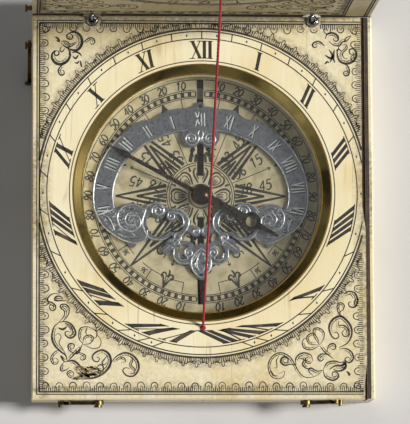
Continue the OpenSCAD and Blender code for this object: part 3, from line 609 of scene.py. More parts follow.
# %% A fringe along a path
BASE_X, BASE_Y = 33.0, 37.25
BASE_TOP = node_box("base_tablet")[1][2]
RULE_OUTER, RULE_INNER = 1.0, 1.45
SEAM_X = 30.85
DIAL_RING = 32.0
HATCH_STEP, HATCH_HEIGHT = 0.4, 1.15
ARCH = [(-0.62, 0.75), (-0.66, 1.15), (-0.48, 1.62), (0.0, 1.85), (0.48, 1.62), (0.66, 1.15), (0.6, 0.8)]
ARCH_HEART = [(-0.2, 0.9), (0.0, 1.3), (0.2, 0.9)]
LOBE_TOPS = ((-0.98, 0.98), (-0.5, 1.2), (0.0, 1.85), (0.5, 1.2), (0.98, 0.98))
LACE = [[(x - 0.25, top * 0.62), (x - 0.2, top * 0.9), (x, top), (x + 0.2, top * 0.9), (x + 0.25, top * 0.62)]
        for x, top in LOBE_TOPS]


def fringe(graver, path, motifs, spacing, free, seed):
    """Short strokes square to a path, on its left, with a motif at each spacing."""
    wear = random.Random(seed)
    p = smooth_line(path, HATCH_STEP) if len(path) > 2 else np.linspace(path[0], path[1], 400)
    gaps = np.linalg.norm(np.diff(p, axis=0), axis=1)
    reach = np.concatenate([[0], np.cumsum(gaps)])
    total = reach[-1]

    def at(along, out):
        """The point at a distance along the path and a distance out from it."""
        x, y = (np.interp(along, reach, p[:, k]) for k in (0, 1))
        x2, y2 = (np.interp(along + 0.05, reach, p[:, k]) for k in (0, 1))
        x1, y1 = (np.interp(along - 0.05, reach, p[:, k]) for k in (0, 1))
        size = math.hypot(x2 - x1, y2 - y1) or 1.0
        return x - (y2 - y1) / size * out, y + (x2 - x1) / size * out

    for k in range(int(total / HATCH_STEP)):
        along = (k + 0.5) * HATCH_STEP
        tall = HATCH_HEIGHT * wear.uniform(0.6, 1.05)
        ends = [at(along, 0.06), at(along + wear.uniform(-0.06, 0.06), tall)]
        if all(free(*e) for e in ends):
            graver.line(ends, wear.uniform(0.08, 0.16), 0.2)
    count = int(total / spacing)
    for k in range(count):
        centre = (k + 0.5) * total / count
        for shape, width in motifs:
            tall = wear.uniform(0.88, 1.06)
            placed = [at(centre + s * wear.uniform(0.96, 1.04), t * tall) for s, t in shape]
            if all(free(*q) for q in placed):
                graver.curve(placed, width * wear.uniform(0.75, 1.1), 0.2)


print("fringe strokes are", HATCH_STEP, "mm apart")

# %% [markdown]
# The fringe is kept inside the ruled lines and off the dial, and no line crosses the pockets of the
# hinge eyes. The seam of the right slip, which has lines of its own, ends the field on that side.

# %% Rule the tablet and fringe its sides
def in_border(x, y):
    """True inside the inner ruled line."""
    return -BASE_X + RULE_INNER < x < SEAM_X and abs(y) < BASE_Y - RULE_INNER


def on_field(x, y):
    """True on the open ivory between the borders and outside the dial's rings."""
    return in_border(x, y) and math.hypot(x - DIAL[0], y - DIAL[1]) > DIAL_RING + 0.1


EYE_X, EYE_ROOM, EYE_DEPTH = HINGE_EYE[0], 1.5, 2.45
BASE_POCKETS = [(side * EYE_X - EYE_ROOM, side * EYE_X + EYE_ROOM, BASE_Y - EYE_DEPTH, BASE_Y + 1)
                for side in (-1, 1)]
LID_POCKETS = [(left, right, -1, EYE_DEPTH) for left, right, _, _ in BASE_POCKETS]
top = level_graver((0, 0, BASE_TOP), bold=1.5, holes=BASE_POCKETS)
for inset, width in ((RULE_OUTER, 0.15), (RULE_INNER, 0.2)):
    x, y = BASE_X - inset, BASE_Y - inset
    top.line([(SEAM_X, y), (-x, y)], width)
    top.line([(-x, y), (-x, -y)], width)
    top.line([(-x, -y), (SEAM_X, -y)], width)
STRIP_LINES = (31.7, 32.15)
for x in STRIP_LINES:
    top.line([(x, -BASE_Y + 0.2), (x, BASE_Y - 0.2)], 0.15)
ARCHES_SPACED, LACE_SPACED = 2.6, 2.45
ARCHES = [(ARCH, 0.14), (ARCH_HEART, 0.09)]


def fringed_sides(graver, left, right, low, high, free, seeds):
    """A fringe inside a box, side by side anticlockwise from the lower one, where there is a seed."""
    corners = ((left, low), (right, low), (right, high), (left, high))
    for k, seed in enumerate(seeds):
        if seed is not None:
            fringe(graver, (corners[k], corners[(k + 1) % 4]), ARCHES, ARCHES_SPACED, free, seed)


fringed_sides(top, -BASE_X + RULE_INNER, SEAM_X, -BASE_Y + RULE_INNER, BASE_Y - RULE_INNER,
              on_field, range(4))
print("border strips:", len(top.faces))

# %% [markdown]
# ## The hour ring
# Round the compass lie a plain circle, the hour numerals, a band of half-hour ticks and quarter-hour
# dots, and a double circle. The compass centre isn't where the thread meets the dial: the hour lines
# fan out from the thread's foot, so the numerals lean more and more towards the bottom. A numeral's
# strokes are given in a small upright frame and then laid along their hour line. For a thread that
# points at the pole over latitude L, the hour line of hour h makes the angle whose tangent is
# sin(L) tan(15 h) with noon. The lines in the photograph fit a latitude of 52 degrees best, though
# the thread itself stands nearer 49, so the lines follow the photograph. From the fifth hour on the
# engraver let them sink a few degrees further round the circle.

# %% Hour lines
LATITUDE = math.radians(52)
FOOT = np.array([-0.1, -23.5])
NUMERAL_FOOT, NUMERAL_HEAD, LOW_NUMERAL_FOOT = 26.2, 29.55, 26.85
SLANT_SPARE, STEEP_HOUR = 0.5, 4
SETTLED = ((4, 5, 6, 7), (0.0, 3.9, 3.1, 2.0))
TICK_FOOT, TICK_HEAD = 30.0, 31.45
STEM, HAIR = 0.64, 0.2


def hour_direction(hour):
    """Unit direction from the thread's foot for hours after noon, from -7 to 7."""
    turn = math.radians(15 * hour)
    across, ahead = math.sin(LATITUDE) * math.sin(turn), math.cos(turn)
    return np.array([across, ahead]) / math.hypot(across, ahead)


def on_ring(hour, radius, shift=0.0):
    """Where an hour line meets a circle round the compass, moved along it clockwise by shift."""
    ahead, offset = hour_direction(hour), FOOT - DIAL
    spare = SLANT_SPARE * min(max(abs(hour) - STEEP_HOUR, 0.0), 1.0)
    middle = ahead @ offset
    reach = -middle + math.sqrt(middle ** 2 - offset @ offset + (radius + spare) ** 2)
    x, y = (offset + reach * ahead) * radius / (radius + spare)
    turn = shift / radius + math.copysign(math.radians(np.interp(abs(hour), *SETTLED)), hour)
    return DIAL + np.array([x * math.cos(turn) + y * math.sin(turn), y * math.cos(turn) - x * math.sin(turn)])


def uprightness(hour, radius):
    """How square an hour line stands to its circle: 1 at noon, small where it runs nearly along it."""
    at = on_ring(hour, radius) - DIAL
    return float(at @ hour_direction(hour)) / radius


print("hour line of 3 runs along", [round(v, 3) for v in hour_direction(3)])

# %% [markdown]
# A numeral is made of broad stems and hairlines, as a broad pen would write it, with thin serifs. Where
# its hour line runs nearly along the ring, the strokes are spread and fattened to fill the band.

# %% Roman numerals along the hour lines
GLYPH_WIDTH = {"I": 1.1, "V": 1.85, "X": 2.1}
GLYPHS = {"I": [((0, 0), (0, 1), STEM)],
          "V": [((-0.7, 1), (0.0, 0), STEM), ((0.0, 0), (0.72, 1), HAIR)],
          "X": [((-0.76, 1), (0.76, 0), STEM), ((-0.76, 0), (0.76, 1), HAIR)]}


def numeral(graver, text, hour):
    """Roman numeral laid along its hour line, its top outwards."""
    foot = LOW_NUMERAL_FOOT if abs(hour) > 4 else NUMERAL_FOOT
    square = uprightness(hour, (foot + NUMERAL_HEAD) / 2)
    spread, fat = max(square, 0.4) ** -0.55, max(square, 0.4) ** -1.0
    start = -sum(GLYPH_WIDTH[c] for c in text) * spread / 2

    def place(u, v):
        """A spot across and up the numeral, on the tablet."""
        return on_ring(hour, foot + v * (NUMERAL_HEAD - foot), u)

    for glyph in text:
        middle = start + GLYPH_WIDTH[glyph] * spread / 2
        for (u0, v0), (u1, v1), thick in GLYPHS[glyph]:
            stroke = [((u0 + (u1 - u0) * t) * spread, v0 + (v1 - v0) * t) for t in np.linspace(0, 1, 7)]
            left_side = [place(middle + u - thick * fat / 2, v) for u, v in stroke]
            right_side = [place(middle + u + thick * fat / 2, v) for u, v in stroke]
            graver.patch(left_side + right_side[::-1])
            for u, v in (stroke[0], stroke[-1]):
                if glyph != "V" or v == 1:
                    ends = [place(middle + u + s * spread, v) for s in np.linspace(-0.52, 0.52, 5)]
                    graver.line(ends, 0.12)
        start += GLYPH_WIDTH[glyph] * spread


print("stems are", STEM, "mm wide and hairlines", HAIR, "mm")

# %% [markdown]
# Now the ring itself is cut: four circles, a tick for each half hour, a small lozenge for each quarter,
# the numerals from 5 in the morning to 7 in the evening, and the lace outside.

# %% Cut the hour ring
HOUR_CIRCLES = ((25.65, 0.13), (TICK_FOOT, 0.14), (TICK_HEAD, 0.16), (DIAL_RING, 0.27))
QUARTER_DOT = ((0, 0.3), (0.19, 0), (0, -0.3), (-0.19, 0))
for radius, width in HOUR_CIRCLES:
    top.ring(DIAL, radius, width, in_border)
for half_hours in range(-14, 15):
    hour = half_hours / 2
    ends = [on_ring(hour, TICK_FOOT), on_ring(hour, TICK_HEAD)]
    if all(in_border(*e) for e in ends):
        top.line(ends, 0.14)
    if half_hours < 14:
        middle = on_ring(hour + 0.25, (TICK_FOOT + TICK_HEAD) / 2)
        top.patch([middle + d for d in QUARTER_DOT])
MORNING = {-1: "XI", -2: "X", -3: "IX", -4: "VIII", -5: "VII", -6: "VI", -7: "V"}
AFTERNOON = {0: "XII", 1: "I", 2: "II", 3: "III", 4: "IIII", 5: "V", 6: "VI", 7: "VII"}
for hour, text in {**MORNING, **AFTERNOON}.items():
    numeral(top, text, hour)


def lace_round(graver, centre, radius, free, seed):
    """A fringe with lace lobes that stands outwards on a circle."""
    path = [tuple(centre + (radius + 0.1) * np.array([math.sin(t), math.cos(t)]))
            for t in np.linspace(0, -2 * math.pi, 721)[::-6]]
    fringe(graver, path, [(lobe, 0.12) for lobe in LACE], LACE_SPACED, free, seed)


lace_round(top, DIAL, DIAL_RING, on_field, 9)
print("strokes with the hour ring:", len(top.faces))

# %% [markdown]
# ## Scrollwork in the corners
# Each corner of the tablet holds arabesques cut freehand: C-scrolls that end in tight curls, leaves,
# and a three-petalled flower. No two corners are alike, so each stroke is given as a few points that a
# smooth curve runs through, with its widest width, and it thins towards both ends as a graver's cut
# does. The hollow side of a scroll is shaded: a hairline runs beside it, and short slanting strokes
# join the two.

# %% Scrolls of the lower left corner
LOWER_LEFT = [
    (0.26, [(-27.8, -22.5), (-28.7, -23.4), (-29.1, -25.3), (-28.6, -26.8), (-27.6, -27.9), (-26.5, -28.8),
           (-26.1, -30)]),
    (0.12, [(-28.5, -25.1), (-27.9, -24.6), (-27.3, -25.2), (-27.7, -26.4), (-27, -27.6), (-26.2, -29.1)]),
    (0.24, [(-27.8, -22.5), (-26.6, -22.3), (-25.4, -22.8), (-24.6, -24.1), (-24.7, -25), (-25.6, -25.5),
           (-26.5, -24.9), (-26.4, -24.2), (-25.7, -24.3)]),
    (0.13, [(-26.6, -22.6), (-25.6, -23.1), (-25.1, -24), (-25.3, -24.8), (-25.8, -25.1)]),
    (0.3, [(-27.9, -23.5), (-27, -23.8), (-26.2, -23.3)]),
    (0.18, [(-27.8, -22.5), (-26.8, -21.3), (-26.7, -20.3), (-27.4, -19.7), (-27.4, -19.1), (-26.5, -19),
           (-25.8, -19.7), (-26, -21.1), (-27.1, -22.4)]),
    (0.22, [(-26.3, -18.3), (-27.4, -18.3), (-28.5, -18.2), (-28.3, -17.5), (-27.4, -17.5), (-27, -18.1)]),
    (0.2, [(-28.6, -19.5), (-29, -19.1), (-29.6, -19.3), (-29.3, -20.1), (-28.6, -20.1), (-28.4, -19.3),
           (-29.2, -18.6), (-30, -18.4), (-29.6, -17.4), (-28.6, -16.9), (-27.7, -17.1)]),
    (0.14, [(-27.2, -27.7), (-28.5, -28.1), (-29.3, -29.3), (-28.9, -30.4), (-28.1, -30.4), (-27.9, -29.7),
           (-28.5, -29.3), (-28.9, -29.8)]),
    (0.2, [(-26.1, -30), (-26.7, -30), (-27.4, -28.9), (-26.8, -29.4), (-26.6, -29.7)]),
    (0.16, [(-26.7, -30), (-27.4, -31), (-27.3, -31.8), (-26.4, -31.6), (-25.7, -31.1)]),
    (0.14, [(-24.5, -33.3), (-25.7, -33), (-26.2, -32.2), (-25.6, -31.7), (-24.9, -32.2), (-25.1, -32.8),
           (-25.7, -32.6)]),
    (0.26, [(-26.1, -30), (-25, -29.8), (-23.9, -30.6), (-23.2, -31.6)]),
    (0.3, [(-24.7, -33.3), (-22.9, -33.3), (-21, -33.1), (-19.3, -32.3), (-18.1, -31), (-17.8, -29.7),
           (-18.2, -28.5), (-19.3, -27.8), (-20.5, -28.1), (-21.3, -28.9), (-21.1, -29.8), (-20.3, -30),
           (-20, -29.4), (-20.5, -29.1)]),
    (0.2, [(-20.5, -31.2), (-20.1, -30.7), (-19.5, -30.6), (-19.2, -31.4), (-19.8, -32.1)]),
    (0.16, [(-18.4, -28.7), (-19, -29.5), (-19.5, -30.2), (-19, -30.6), (-18.4, -30)]),
    (0.2, [(-26.1, -30), (-24.9, -28.7), (-23.7, -27.5), (-23.2, -26.6)]),
    (0.18, [(-24.6, -28.5), (-25.7, -27.9), (-26, -27), (-25.5, -26.5), (-24.8, -26.8), (-25, -27.5),
           (-25.5, -27.3)]),
    (0.14, [(-24.6, -28.6), (-23.7, -28.3), (-22.7, -28.8), (-22.7, -29.5), (-23.4, -29.7), (-23.7, -29.2),
           (-23.2, -28.9)]),
    (0.16, [(-23.2, -26.6), (-23.9, -25.5), (-23.7, -23.7), (-22.4, -23.3), (-21.5, -23.6)]),
    (0.16, [(-23.2, -26.6), (-22.9, -25.3), (-21.8, -24.9), (-21.1, -25.5), (-21.8, -26.5),
           (-23.1, -26.7)]),
    (0.16, [(-22.3, -23.4), (-22.6, -24.3), (-22.4, -24.9)]),
    (0.16, [(-21.5, -23.6), (-20.5, -24.3), (-20.6, -25.3), (-21.1, -25.5)]),
    (0.12, [(-20.6, -24.7), (-19.7, -25.9), (-20, -27.2), (-21.2, -27.5), (-22.3, -27.1), (-23.1, -26.7)]),
    (0.2, [(-24.5, -27.6), (-24.3, -28.5), (-23.6, -27.6), (-24, -27.1)]),
    (0.26, [(-17.8, -30.2), (-16.6, -28.9), (-15.1, -28.3), (-13.6, -28.8), (-12.6, -30), (-12.5, -31.5),
           (-13.4, -32.7), (-14.7, -32.7), (-15.5, -31.8), (-15.1, -31.2), (-14.2, -31.3)]),
    (0.13, [(-17.4, -30.2), (-16.3, -29.2), (-15.2, -29.3), (-15, -30), (-15.8, -30.1)]),
    (0.14, [(-14.3, -28.9), (-13.6, -29.7), (-13.9, -30.7), (-13.2, -31.4), (-13.4, -32.2),
           (-14.2, -32.2)]),
]
print("strokes at the lower left:", len(LOWER_LEFT))

# %% [markdown]
# The lower right corner mirrors the idea but not the lines: its flower stands higher and its big scroll
# runs in from the left.

# %% Scrolls of the lower right corner
LOWER_RIGHT = [
    (0.16, [(14.5, -32.4), (15.5, -31.8), (15.3, -32.9), (14.1, -33.3), (12.9, -32.7), (12.4, -31.1),
           (12.7, -29.7), (13.7, -28.6), (15.1, -28.3), (16.5, -29), (17.5, -30.4), (18.2, -31.8),
           (19.3, -32.9), (20.7, -33), (22, -32.5), (23, -31.5)]),
    (0.24, [(17.7, -30.7), (16.7, -30.5), (15.6, -30.7), (14.8, -30), (15.3, -29.1), (16.2, -29.4),
           (16.1, -30.2), (15.4, -30.1)]),
    (0.13, [(13.5, -31.2), (14.1, -31.1), (14, -29.8), (14.5, -28.9)]),
    (0.13, [(12.9, -31.6), (13.5, -32.6), (14.3, -32.7)]),
    (0.2, [(17.8, -30.6), (17.7, -29.5), (18.4, -28.6), (19.5, -28.3), (20.7, -28.8), (21, -29.8)]),
    (0.2, [(18.2, -29.3), (19.3, -29.6), (19, -30.5), (19.8, -31.3), (21, -31.3)]),
    (0.14, [(21, -29.8), (20.3, -30.4), (19.5, -29.8), (20, -29.1), (20.7, -29.3)]),
    (0.18, [(23, -31.6), (21.8, -31.8), (20.6, -31.2), (20.2, -31.8), (21, -32.7)]),
    (0.22, [(23, -31.5), (23.4, -32.9), (24.8, -33.6), (25.9, -33), (25.7, -32.1), (24.9, -32),
           (24.8, -32.8), (25.4, -32.8)]),
    (0.2, [(23, -31.5), (23.8, -30.2), (25.2, -29.9), (26.5, -30.2), (27.2, -29.7)]),
    (0.3, [(24.2, -31.5), (25.3, -30.8), (26.7, -30.7), (27.2, -30.1), (27.3, -31.2), (26.1, -31.8),
           (25, -31.5)]),
    (0.22, [(26.1, -27.6), (27.5, -27.5), (28.6, -28.3), (28.8, -29.5), (28, -30.2), (27.2, -29.6),
           (27.8, -29.1), (28.2, -29.5)]),
    (0.28, [(26.1, -27.3), (27.6, -26.5), (28.5, -25.1), (28.5, -23.4), (27.5, -21.9), (26.3, -21.2),
           (24.9, -21.9), (24.2, -23.3), (24.6, -24.9), (25.4, -25.6), (26.1, -25.1), (25.7, -24.3),
           (25.1, -24.5)]),
    (0.2, [(26.1, -22.1), (26.1, -23), (27.1, -23), (27.9, -23.8), (28, -24.9), (27.1, -25.1),
           (26.7, -24.4), (27.2, -23.8)]),
    (0.16, [(27.1, -21.6), (26.1, -20.7), (25.8, -19.3), (26.4, -18.6), (27.2, -19.1), (26.9, -20),
           (26.3, -20.5), (26.7, -21.3)]),
    (0.24, [(27.1, -17), (28.1, -16.4), (29.3, -16.8), (29.8, -18.2), (29.3, -19.4), (28.3, -19.4),
           (28, -18.7), (28.6, -18.4)]),
    (0.12, [(27.3, -17.3), (28.3, -17), (29, -17.8)]),
    (0.16, [(22.3, -26.7), (21.3, -25.1), (21.2, -23.8), (22.2, -23.5), (23.2, -24.3), (23.1, -25.7),
           (22.4, -26.7)]),
    (0.16, [(22.3, -26.9), (20.8, -27.7), (19.4, -27.4), (19, -26.3), (19.5, -25.5), (20.3, -25.7)]),
    (0.16, [(22.2, -26.8), (20.3, -26.5), (19.9, -25.2), (21, -24.5), (21.9, -25.4), (22.3, -26.8)]),
    (0.18, [(22.4, -27), (23.4, -28.2), (25.1, -29.5)]),
    (0.2, [(23.8, -28.1), (24.1, -26.9), (25, -26.5), (25.5, -27.1), (25.1, -27.7), (24.6, -27.5)]),
    (0.2, [(24.2, -28.7), (22.8, -28.5), (22, -29.2), (22.4, -29.9), (23.1, -29.5), (22.7, -29.1)]),
    (0.3, [(27.5, -31.8), (28.1, -32.5), (27.8, -32.6)]),
]
print("strokes at the lower right:", len(LOWER_RIGHT))

# %% [markdown]
# The upper corners have less room, so each holds one double scroll with a few loose leaves.

# %% Scrolls of the upper corners
UPPER_LEFT = [
    (0.2, [(-25.7, 33.8), (-26.3, 33.4), (-26.1, 32.7), (-25.4, 32.6), (-25.1, 33.2), (-25.7, 33.7)]),
    (0.38, [(-26.1, 33.5), (-25.5, 33.9), (-24.4, 33.9), (-23.5, 33), (-23.4, 31.6), (-24.2, 30.5),
           (-25.4, 30.5), (-26.6, 31.1)]),
    (0.16, [(-27.4, 31.8), (-27.1, 32.2), (-26.2, 32.1), (-25.7, 31.6), (-24.9, 31.8), (-24.3, 32.1)]),
    (0.2, [(-27.4, 31.8), (-26.6, 31.1), (-25.6, 31.1), (-24.5, 31.8)]),
    (0.3, [(-28.6, 33), (-28.1, 32.8), (-27.7, 32.1), (-28.3, 32.3)]),
    (0.2, [(-28.2, 30.4), (-28.7, 29.9), (-28.5, 29.4), (-27.9, 29.5), (-27.8, 30.1), (-28.2, 30.3)]),
    (0.38, [(-28.5, 30.4), (-29.1, 29.7), (-29.1, 28.7), (-28.3, 27.8), (-27.2, 27.7), (-26.1, 28.4),
           (-25.6, 29.6), (-26, 30.7)]),
    (0.18, [(-27.3, 31.2), (-27.6, 30.4), (-27.2, 30.1), (-26.6, 30.8)]),
    (0.2, [(-26.6, 27.9), (-27.6, 27.1), (-27.9, 26.2), (-27.4, 25.5), (-26.8, 25.7), (-26.9, 26.4),
           (-27.3, 26.4)]),
    (0.18, [(-23.4, 31.6), (-22.6, 32.4), (-21.7, 32.9), (-21, 32.6), (-20.9, 31.9), (-21.5, 31.6),
           (-21.8, 32.2)]),
    (0.26, [(-25.3, 29.9), (-24.5, 30.1), (-23.7, 29.7), (-23.4, 29.2)]),
    (0.26, [(-25.1, 29.3), (-24.6, 28.8), (-24, 29.5)]),
    (0.24, [(-24.8, 28), (-24.2, 27.9), (-23.9, 28.4)]),
    (0.24, [(-23.7, 28.4), (-23.5, 27.6), (-23.4, 27.1)]),
    (0.2, [(-25.5, 30.3), (-25.8, 29.7), (-25.6, 29.3)]),
]
UPPER_RIGHT = [
    (0.22, [(23.8, 31.5), (23, 32.3), (22, 32.3), (21.4, 31.7), (21.8, 31.2), (22.3, 31.4), (22.2, 31.8)]),
    (0.3, [(23, 32.2), (23.8, 31.5)]),
    (0.26, [(24, 32.9), (24.3, 33.8), (25.4, 34.1), (26.4, 33.5), (26.4, 32.6), (25.8, 32.5),
           (25.5, 33.1)]),
    (0.2, [(24.6, 32.5), (25.6, 31.7), (26.7, 31.6), (27.3, 32.3), (28.4, 32.8), (29, 33.6)]),
    (0.16, [(29, 33.6), (28, 33.1), (27.7, 32.3), (28.3, 32.5)]),
    (0.3, [(26.7, 31.5), (26.3, 30.5), (26.4, 29.2), (27.1, 28.3), (28.5, 28.1), (29.7, 28.9), (30, 30.2),
           (29.4, 31), (28.6, 30.7), (28.9, 29.9), (29.5, 30.1)]),
    (0.16, [(27.2, 31.7), (28, 31.8), (28.2, 31), (27.3, 30.1), (27.6, 29.2), (28.4, 29)]),
    (0.2, [(27.3, 28.1), (28.3, 27.6), (28.6, 26.7), (28.4, 25.8), (27.7, 25.7), (27.5, 26.3),
           (28.1, 26.6), (28.5, 26.1)]),
    (0.3, [(24.7, 30.8), (25.3, 29.7), (24.9, 28.3)]),
    (0.3, [(25.7, 30.8), (25.5, 29.2), (25.8, 28.2)]),
    (0.3, [(23.9, 29.7), (25, 29.1), (25.7, 29.7)]),
    (0.26, [(23.8, 27.9), (24.3, 28.4), (24.7, 28.2)]),
    (0.2, [(26, 30.5), (26.5, 30.9), (27.1, 30.5)]),
]
print("strokes above:", len(UPPER_LEFT) + len(UPPER_RIGHT))

# %% [markdown]
# Each stroke is cut with its hairline and shading. The random draws that loosen the shading come from
# one seeded source, so every run gives the same tablet.

# %% Cut the scrolls
veins = random.Random(8)


def cut_scroll(graver, points, width):
    """A swelling stroke with a hairline on its hollow side. Wide ones are shaded between the two."""
    graver.curve(points, width, 0.7)
    p = smooth_line(points)
    if width < 0.13 or len(p) < 14:
        return
    ahead = np.gradient(p, axis=0)
    bend = ahead[:-1, 0] * ahead[1:, 1] - ahead[:-1, 1] * ahead[1:, 0]
    side = np.stack([-ahead[:, 1], ahead[:, 0]], 1)
    side /= np.maximum(np.linalg.norm(ahead, axis=1, keepdims=True), 1e-9)
    hollow = math.copysign(1, bend.sum())
    beside = p + side * hollow * (0.2 + width)
    graver.line(beside[len(p) // 8:int(len(p) * 0.8)], 0.11, 0.8)
    for k in range(len(p) // 6, int(len(p) * 0.7), 2 if width > 0.23 else 4):
        along = (p[k + 2] - p[k]) * veins.uniform(0.4, 1.0)
        across = side[k] * hollow * (0.2 + width) * veins.uniform(0.5, 1.0)
        graver.line([p[k], p[k] + across + along], 0.07, 0.3)


for strokes in (LOWER_LEFT, LOWER_RIGHT, UPPER_LEFT, UPPER_RIGHT):
    for width, points in strokes:
        cut_scroll(top, points, width)
top.piece("base_engraving", "base", engraving_black_and_joint_shade, "ivory")

# %% [markdown]
# The leaf in the lower left corner has been rubbed until its hatching ran together into one brown
# smudge. It is drawn with close short strokes that cross the leaf, so its edge stays ragged.

# %% The rubbed leaf
SMUDGE = [(-24.6, -31.1), (-23.6, -30.9), (-22.4, -31.2), (-21.2, -30.9), (-20.0, -31.2), (-19.5, -31.9),
          (-20.4, -32.5), (-21.6, -32.7), (-22.6, -33.3), (-23.8, -33.2), (-24.9, -33.4), (-24.1, -32.6)]
rubbed = level_graver((0, 0, BASE_TOP), 0.016)
wear = random.Random(4)
LEAF_MIDDLE = np.array([-22.2, -32.1])
for point in smooth_line(SMUDGE + SMUDGE[:1], 0.07):
    middle = LEAF_MIDDLE + (point - LEAF_MIDDLE) * math.sqrt(wear.uniform(0.02, 1.1))
    reach = np.array([wear.uniform(0.2, 0.6), wear.uniform(-0.4, 0.1)])
    rubbed.line([middle - reach, middle, middle + reach], wear.uniform(0.08, 0.24), 0.7)
rubbed.piece("rubbed_leaf", "base", worn_filling, "ivory")

# %% [markdown]
# The narrow strip at the right is a slip of ivory of its own, and its joint has opened along the whole
# side. A brown band on the slip's edge is old glue with the joint's shade painted into it. A dark filling
# lies in the gap as painted shade, and its top lies a little below the ivory.

# %% The open seam at the right
STRIP_FOOT = node_box("base_strip_right")[0][0] + 0.02
SEAM_SHADE_TOP, SEAM_SHADE_DEEP = 8.7, 2.0


def upright_band(graver, left, right, end_room):
    """A filled band along the tablet's whole depth, but for a little room at both ends."""
    reach = BASE_Y - end_room
    graver.patch([(left, -reach), (right, -reach), (right, reach), (left, reach)])


# old glue, with the joint's shade painted into the band
seam = level_graver((0, 0, BASE_TOP), 0.008)
upright_band(seam, STRIP_FOOT, STRIP_LINES[1], 0.1)
seam.piece("seam_glue_and_shade", "base", seam_glue_and_shade, "ivory")
# painted shade: a dark block in the open gap, below the ivory's top
gap_shade_graver = level_graver((0, 0, SEAM_SHADE_TOP), 0.0)
upright_band(gap_shade_graver, SEAM_X - 0.1, STRIP_FOOT + 0.1, 0.02)
gap_shade_graver.piece("seam_gap_shade", "base", seam_gap_shade, "ivory", SEAM_SHADE_DEEP)

# %% [markdown]
# A dark brown line along the back edge, in the joint between the two tablets, is painted shade. It is
# made as a thin ragged lip on the lower tablet, below the hinge's axis, where the lid never comes.

# %% Painted shade in the joint
# painted shade: a dark lip in the joint between the tablets
joint_shade = Graver((0, BASE_Y, 0), (-1, 0, 0), (0, 0, 1), 0.21,
                    holes=[(left, right, 0, 10) for left, right, _, _ in BASE_POCKETS])
LIP_FOOT, LIP_DIP = BASE_TOP - 0.3, 0.04
lip = [(x, BASE_TOP - 0.01 - LIP_DIP * abs(math.sin(3.1 * x) * math.sin(1.3 * x)))
       for x in np.arange(-32.9, 32.95, 0.35)]
for (x0, z0), (x1, z1) in zip(lip[:-1], lip[1:]):
    joint_shade.patch([(x0, LIP_FOOT), (x1, LIP_FOOT), (x1, z1), (x0, z0)])
joint_shade.piece("joint_shade", "base", engraving_black_and_joint_shade, "ivory", 0.2)

# %% [markdown]
# ## The compass card
# The card at the bottom of the compass well is printed: a degree scale with a chequered ring, small
# boxes with arrowheads, an eight-pointed star with striped points, and thin rays. Between the rays
# stand plain numbers, the angles of the winds in degrees and minutes. Everything is drawn round the
# dial's centre, and a test keeps the print off the two slots along noon that the hour plate's pins
# run in.

# %% Plain figures for scales
FIGURES = {
    "0": [[(.28, 1), (.06, .72), (.05, .3), (.27, 0), (.5, .28), (.5, .7), (.28, 1)]],
    "1": [[(.1, .78), (.31, 1), (.3, .5), (.28, 0)]],
    "2": [[(.05, .75), (.25, 1), (.5, .78), (.35, .42), (.04, .03)], [(.04, .03), (.55, .04)]],
    "3": [[(.05, .88), (.28, 1), (.48, .8), (.22, .55)], [(.22, .55), (.53, .35), (.3, 0), (.03, .12)]],
    "4": [[(.4, 0), (.4, 1)], [(.4, 1), (.02, .3)], [(.02, .3), (.56, .3)]],
    "5": [[(.5, 1), (.12, 1)], [(.12, 1), (.08, .58)],
          [(.08, .58), (.36, .62), (.52, .3), (.28, 0), (.03, .1)]],
    "6": [[(.48, .95), (.16, .7), (.04, .3), (.26, 0), (.5, .25), (.3, .52), (.06, .34)]],
    "7": [[(.03, .97), (.52, .97)], [(.52, .97), (.3, .5), (.2, 0)]],
    "8": [[(.28, .54), (.06, .76), (.28, 1), (.5, .76), (.28, .54), (.03, .26), (.28, 0), (.53, .26),
           (.28, .54)]],
    "9": [[(.06, .05), (.38, .3), (.5, .7), (.3, 1), (.05, .75), (.25, .46), (.48, .64)]],
}


def figures(graver, text, centre, reading, tall=1.1, width=0.13, pace=0.66, lean=0.15, free=None):
    """A number centred on a point. Reading is the direction of its line, in degrees from +X."""
    along = np.array([math.cos(math.radians(reading)), math.sin(math.radians(reading))])
    upward = np.array([-along[1], along[0]])
    start = np.array(centre) - along * pace * tall * len(text) / 2 - upward * tall / 2
    for place, figure in enumerate(text):
        for stroke in FIGURES.get(figure, []):
            points = [start + along * tall * (x + lean * y + pace * place) + upward * tall * y
                      for x, y in stroke]
            if free is None or all(free(*p) for p in points):
                graver.line(smooth_line(points, 0.09), width, 0.25)


def polar(radius, degrees):
    """A point at a compass angle, clockwise from north."""
    return np.array([math.sin(math.radians(degrees)), math.cos(math.radians(degrees))]) * radius


print("figures:", "".join(FIGURES))

# %% [markdown]
# The degree numbers stand with their tops outwards and count from north and from south towards east
# and west, as on a surveyor's card, so that a tick runs between the two figures of each number.

# %% The degree scale and its chequered ring
CARD_TOP = node_box("compass_card")[1][2]
SLOT_HALF = 0.74
SLOT_REACH = ((3.9, 23.6), (-21.6, -3.9))


def on_card(x, y):
    """True off the noon slots."""
    return abs(x) > SLOT_HALF or not any(low < y < high for low, high in SLOT_REACH)


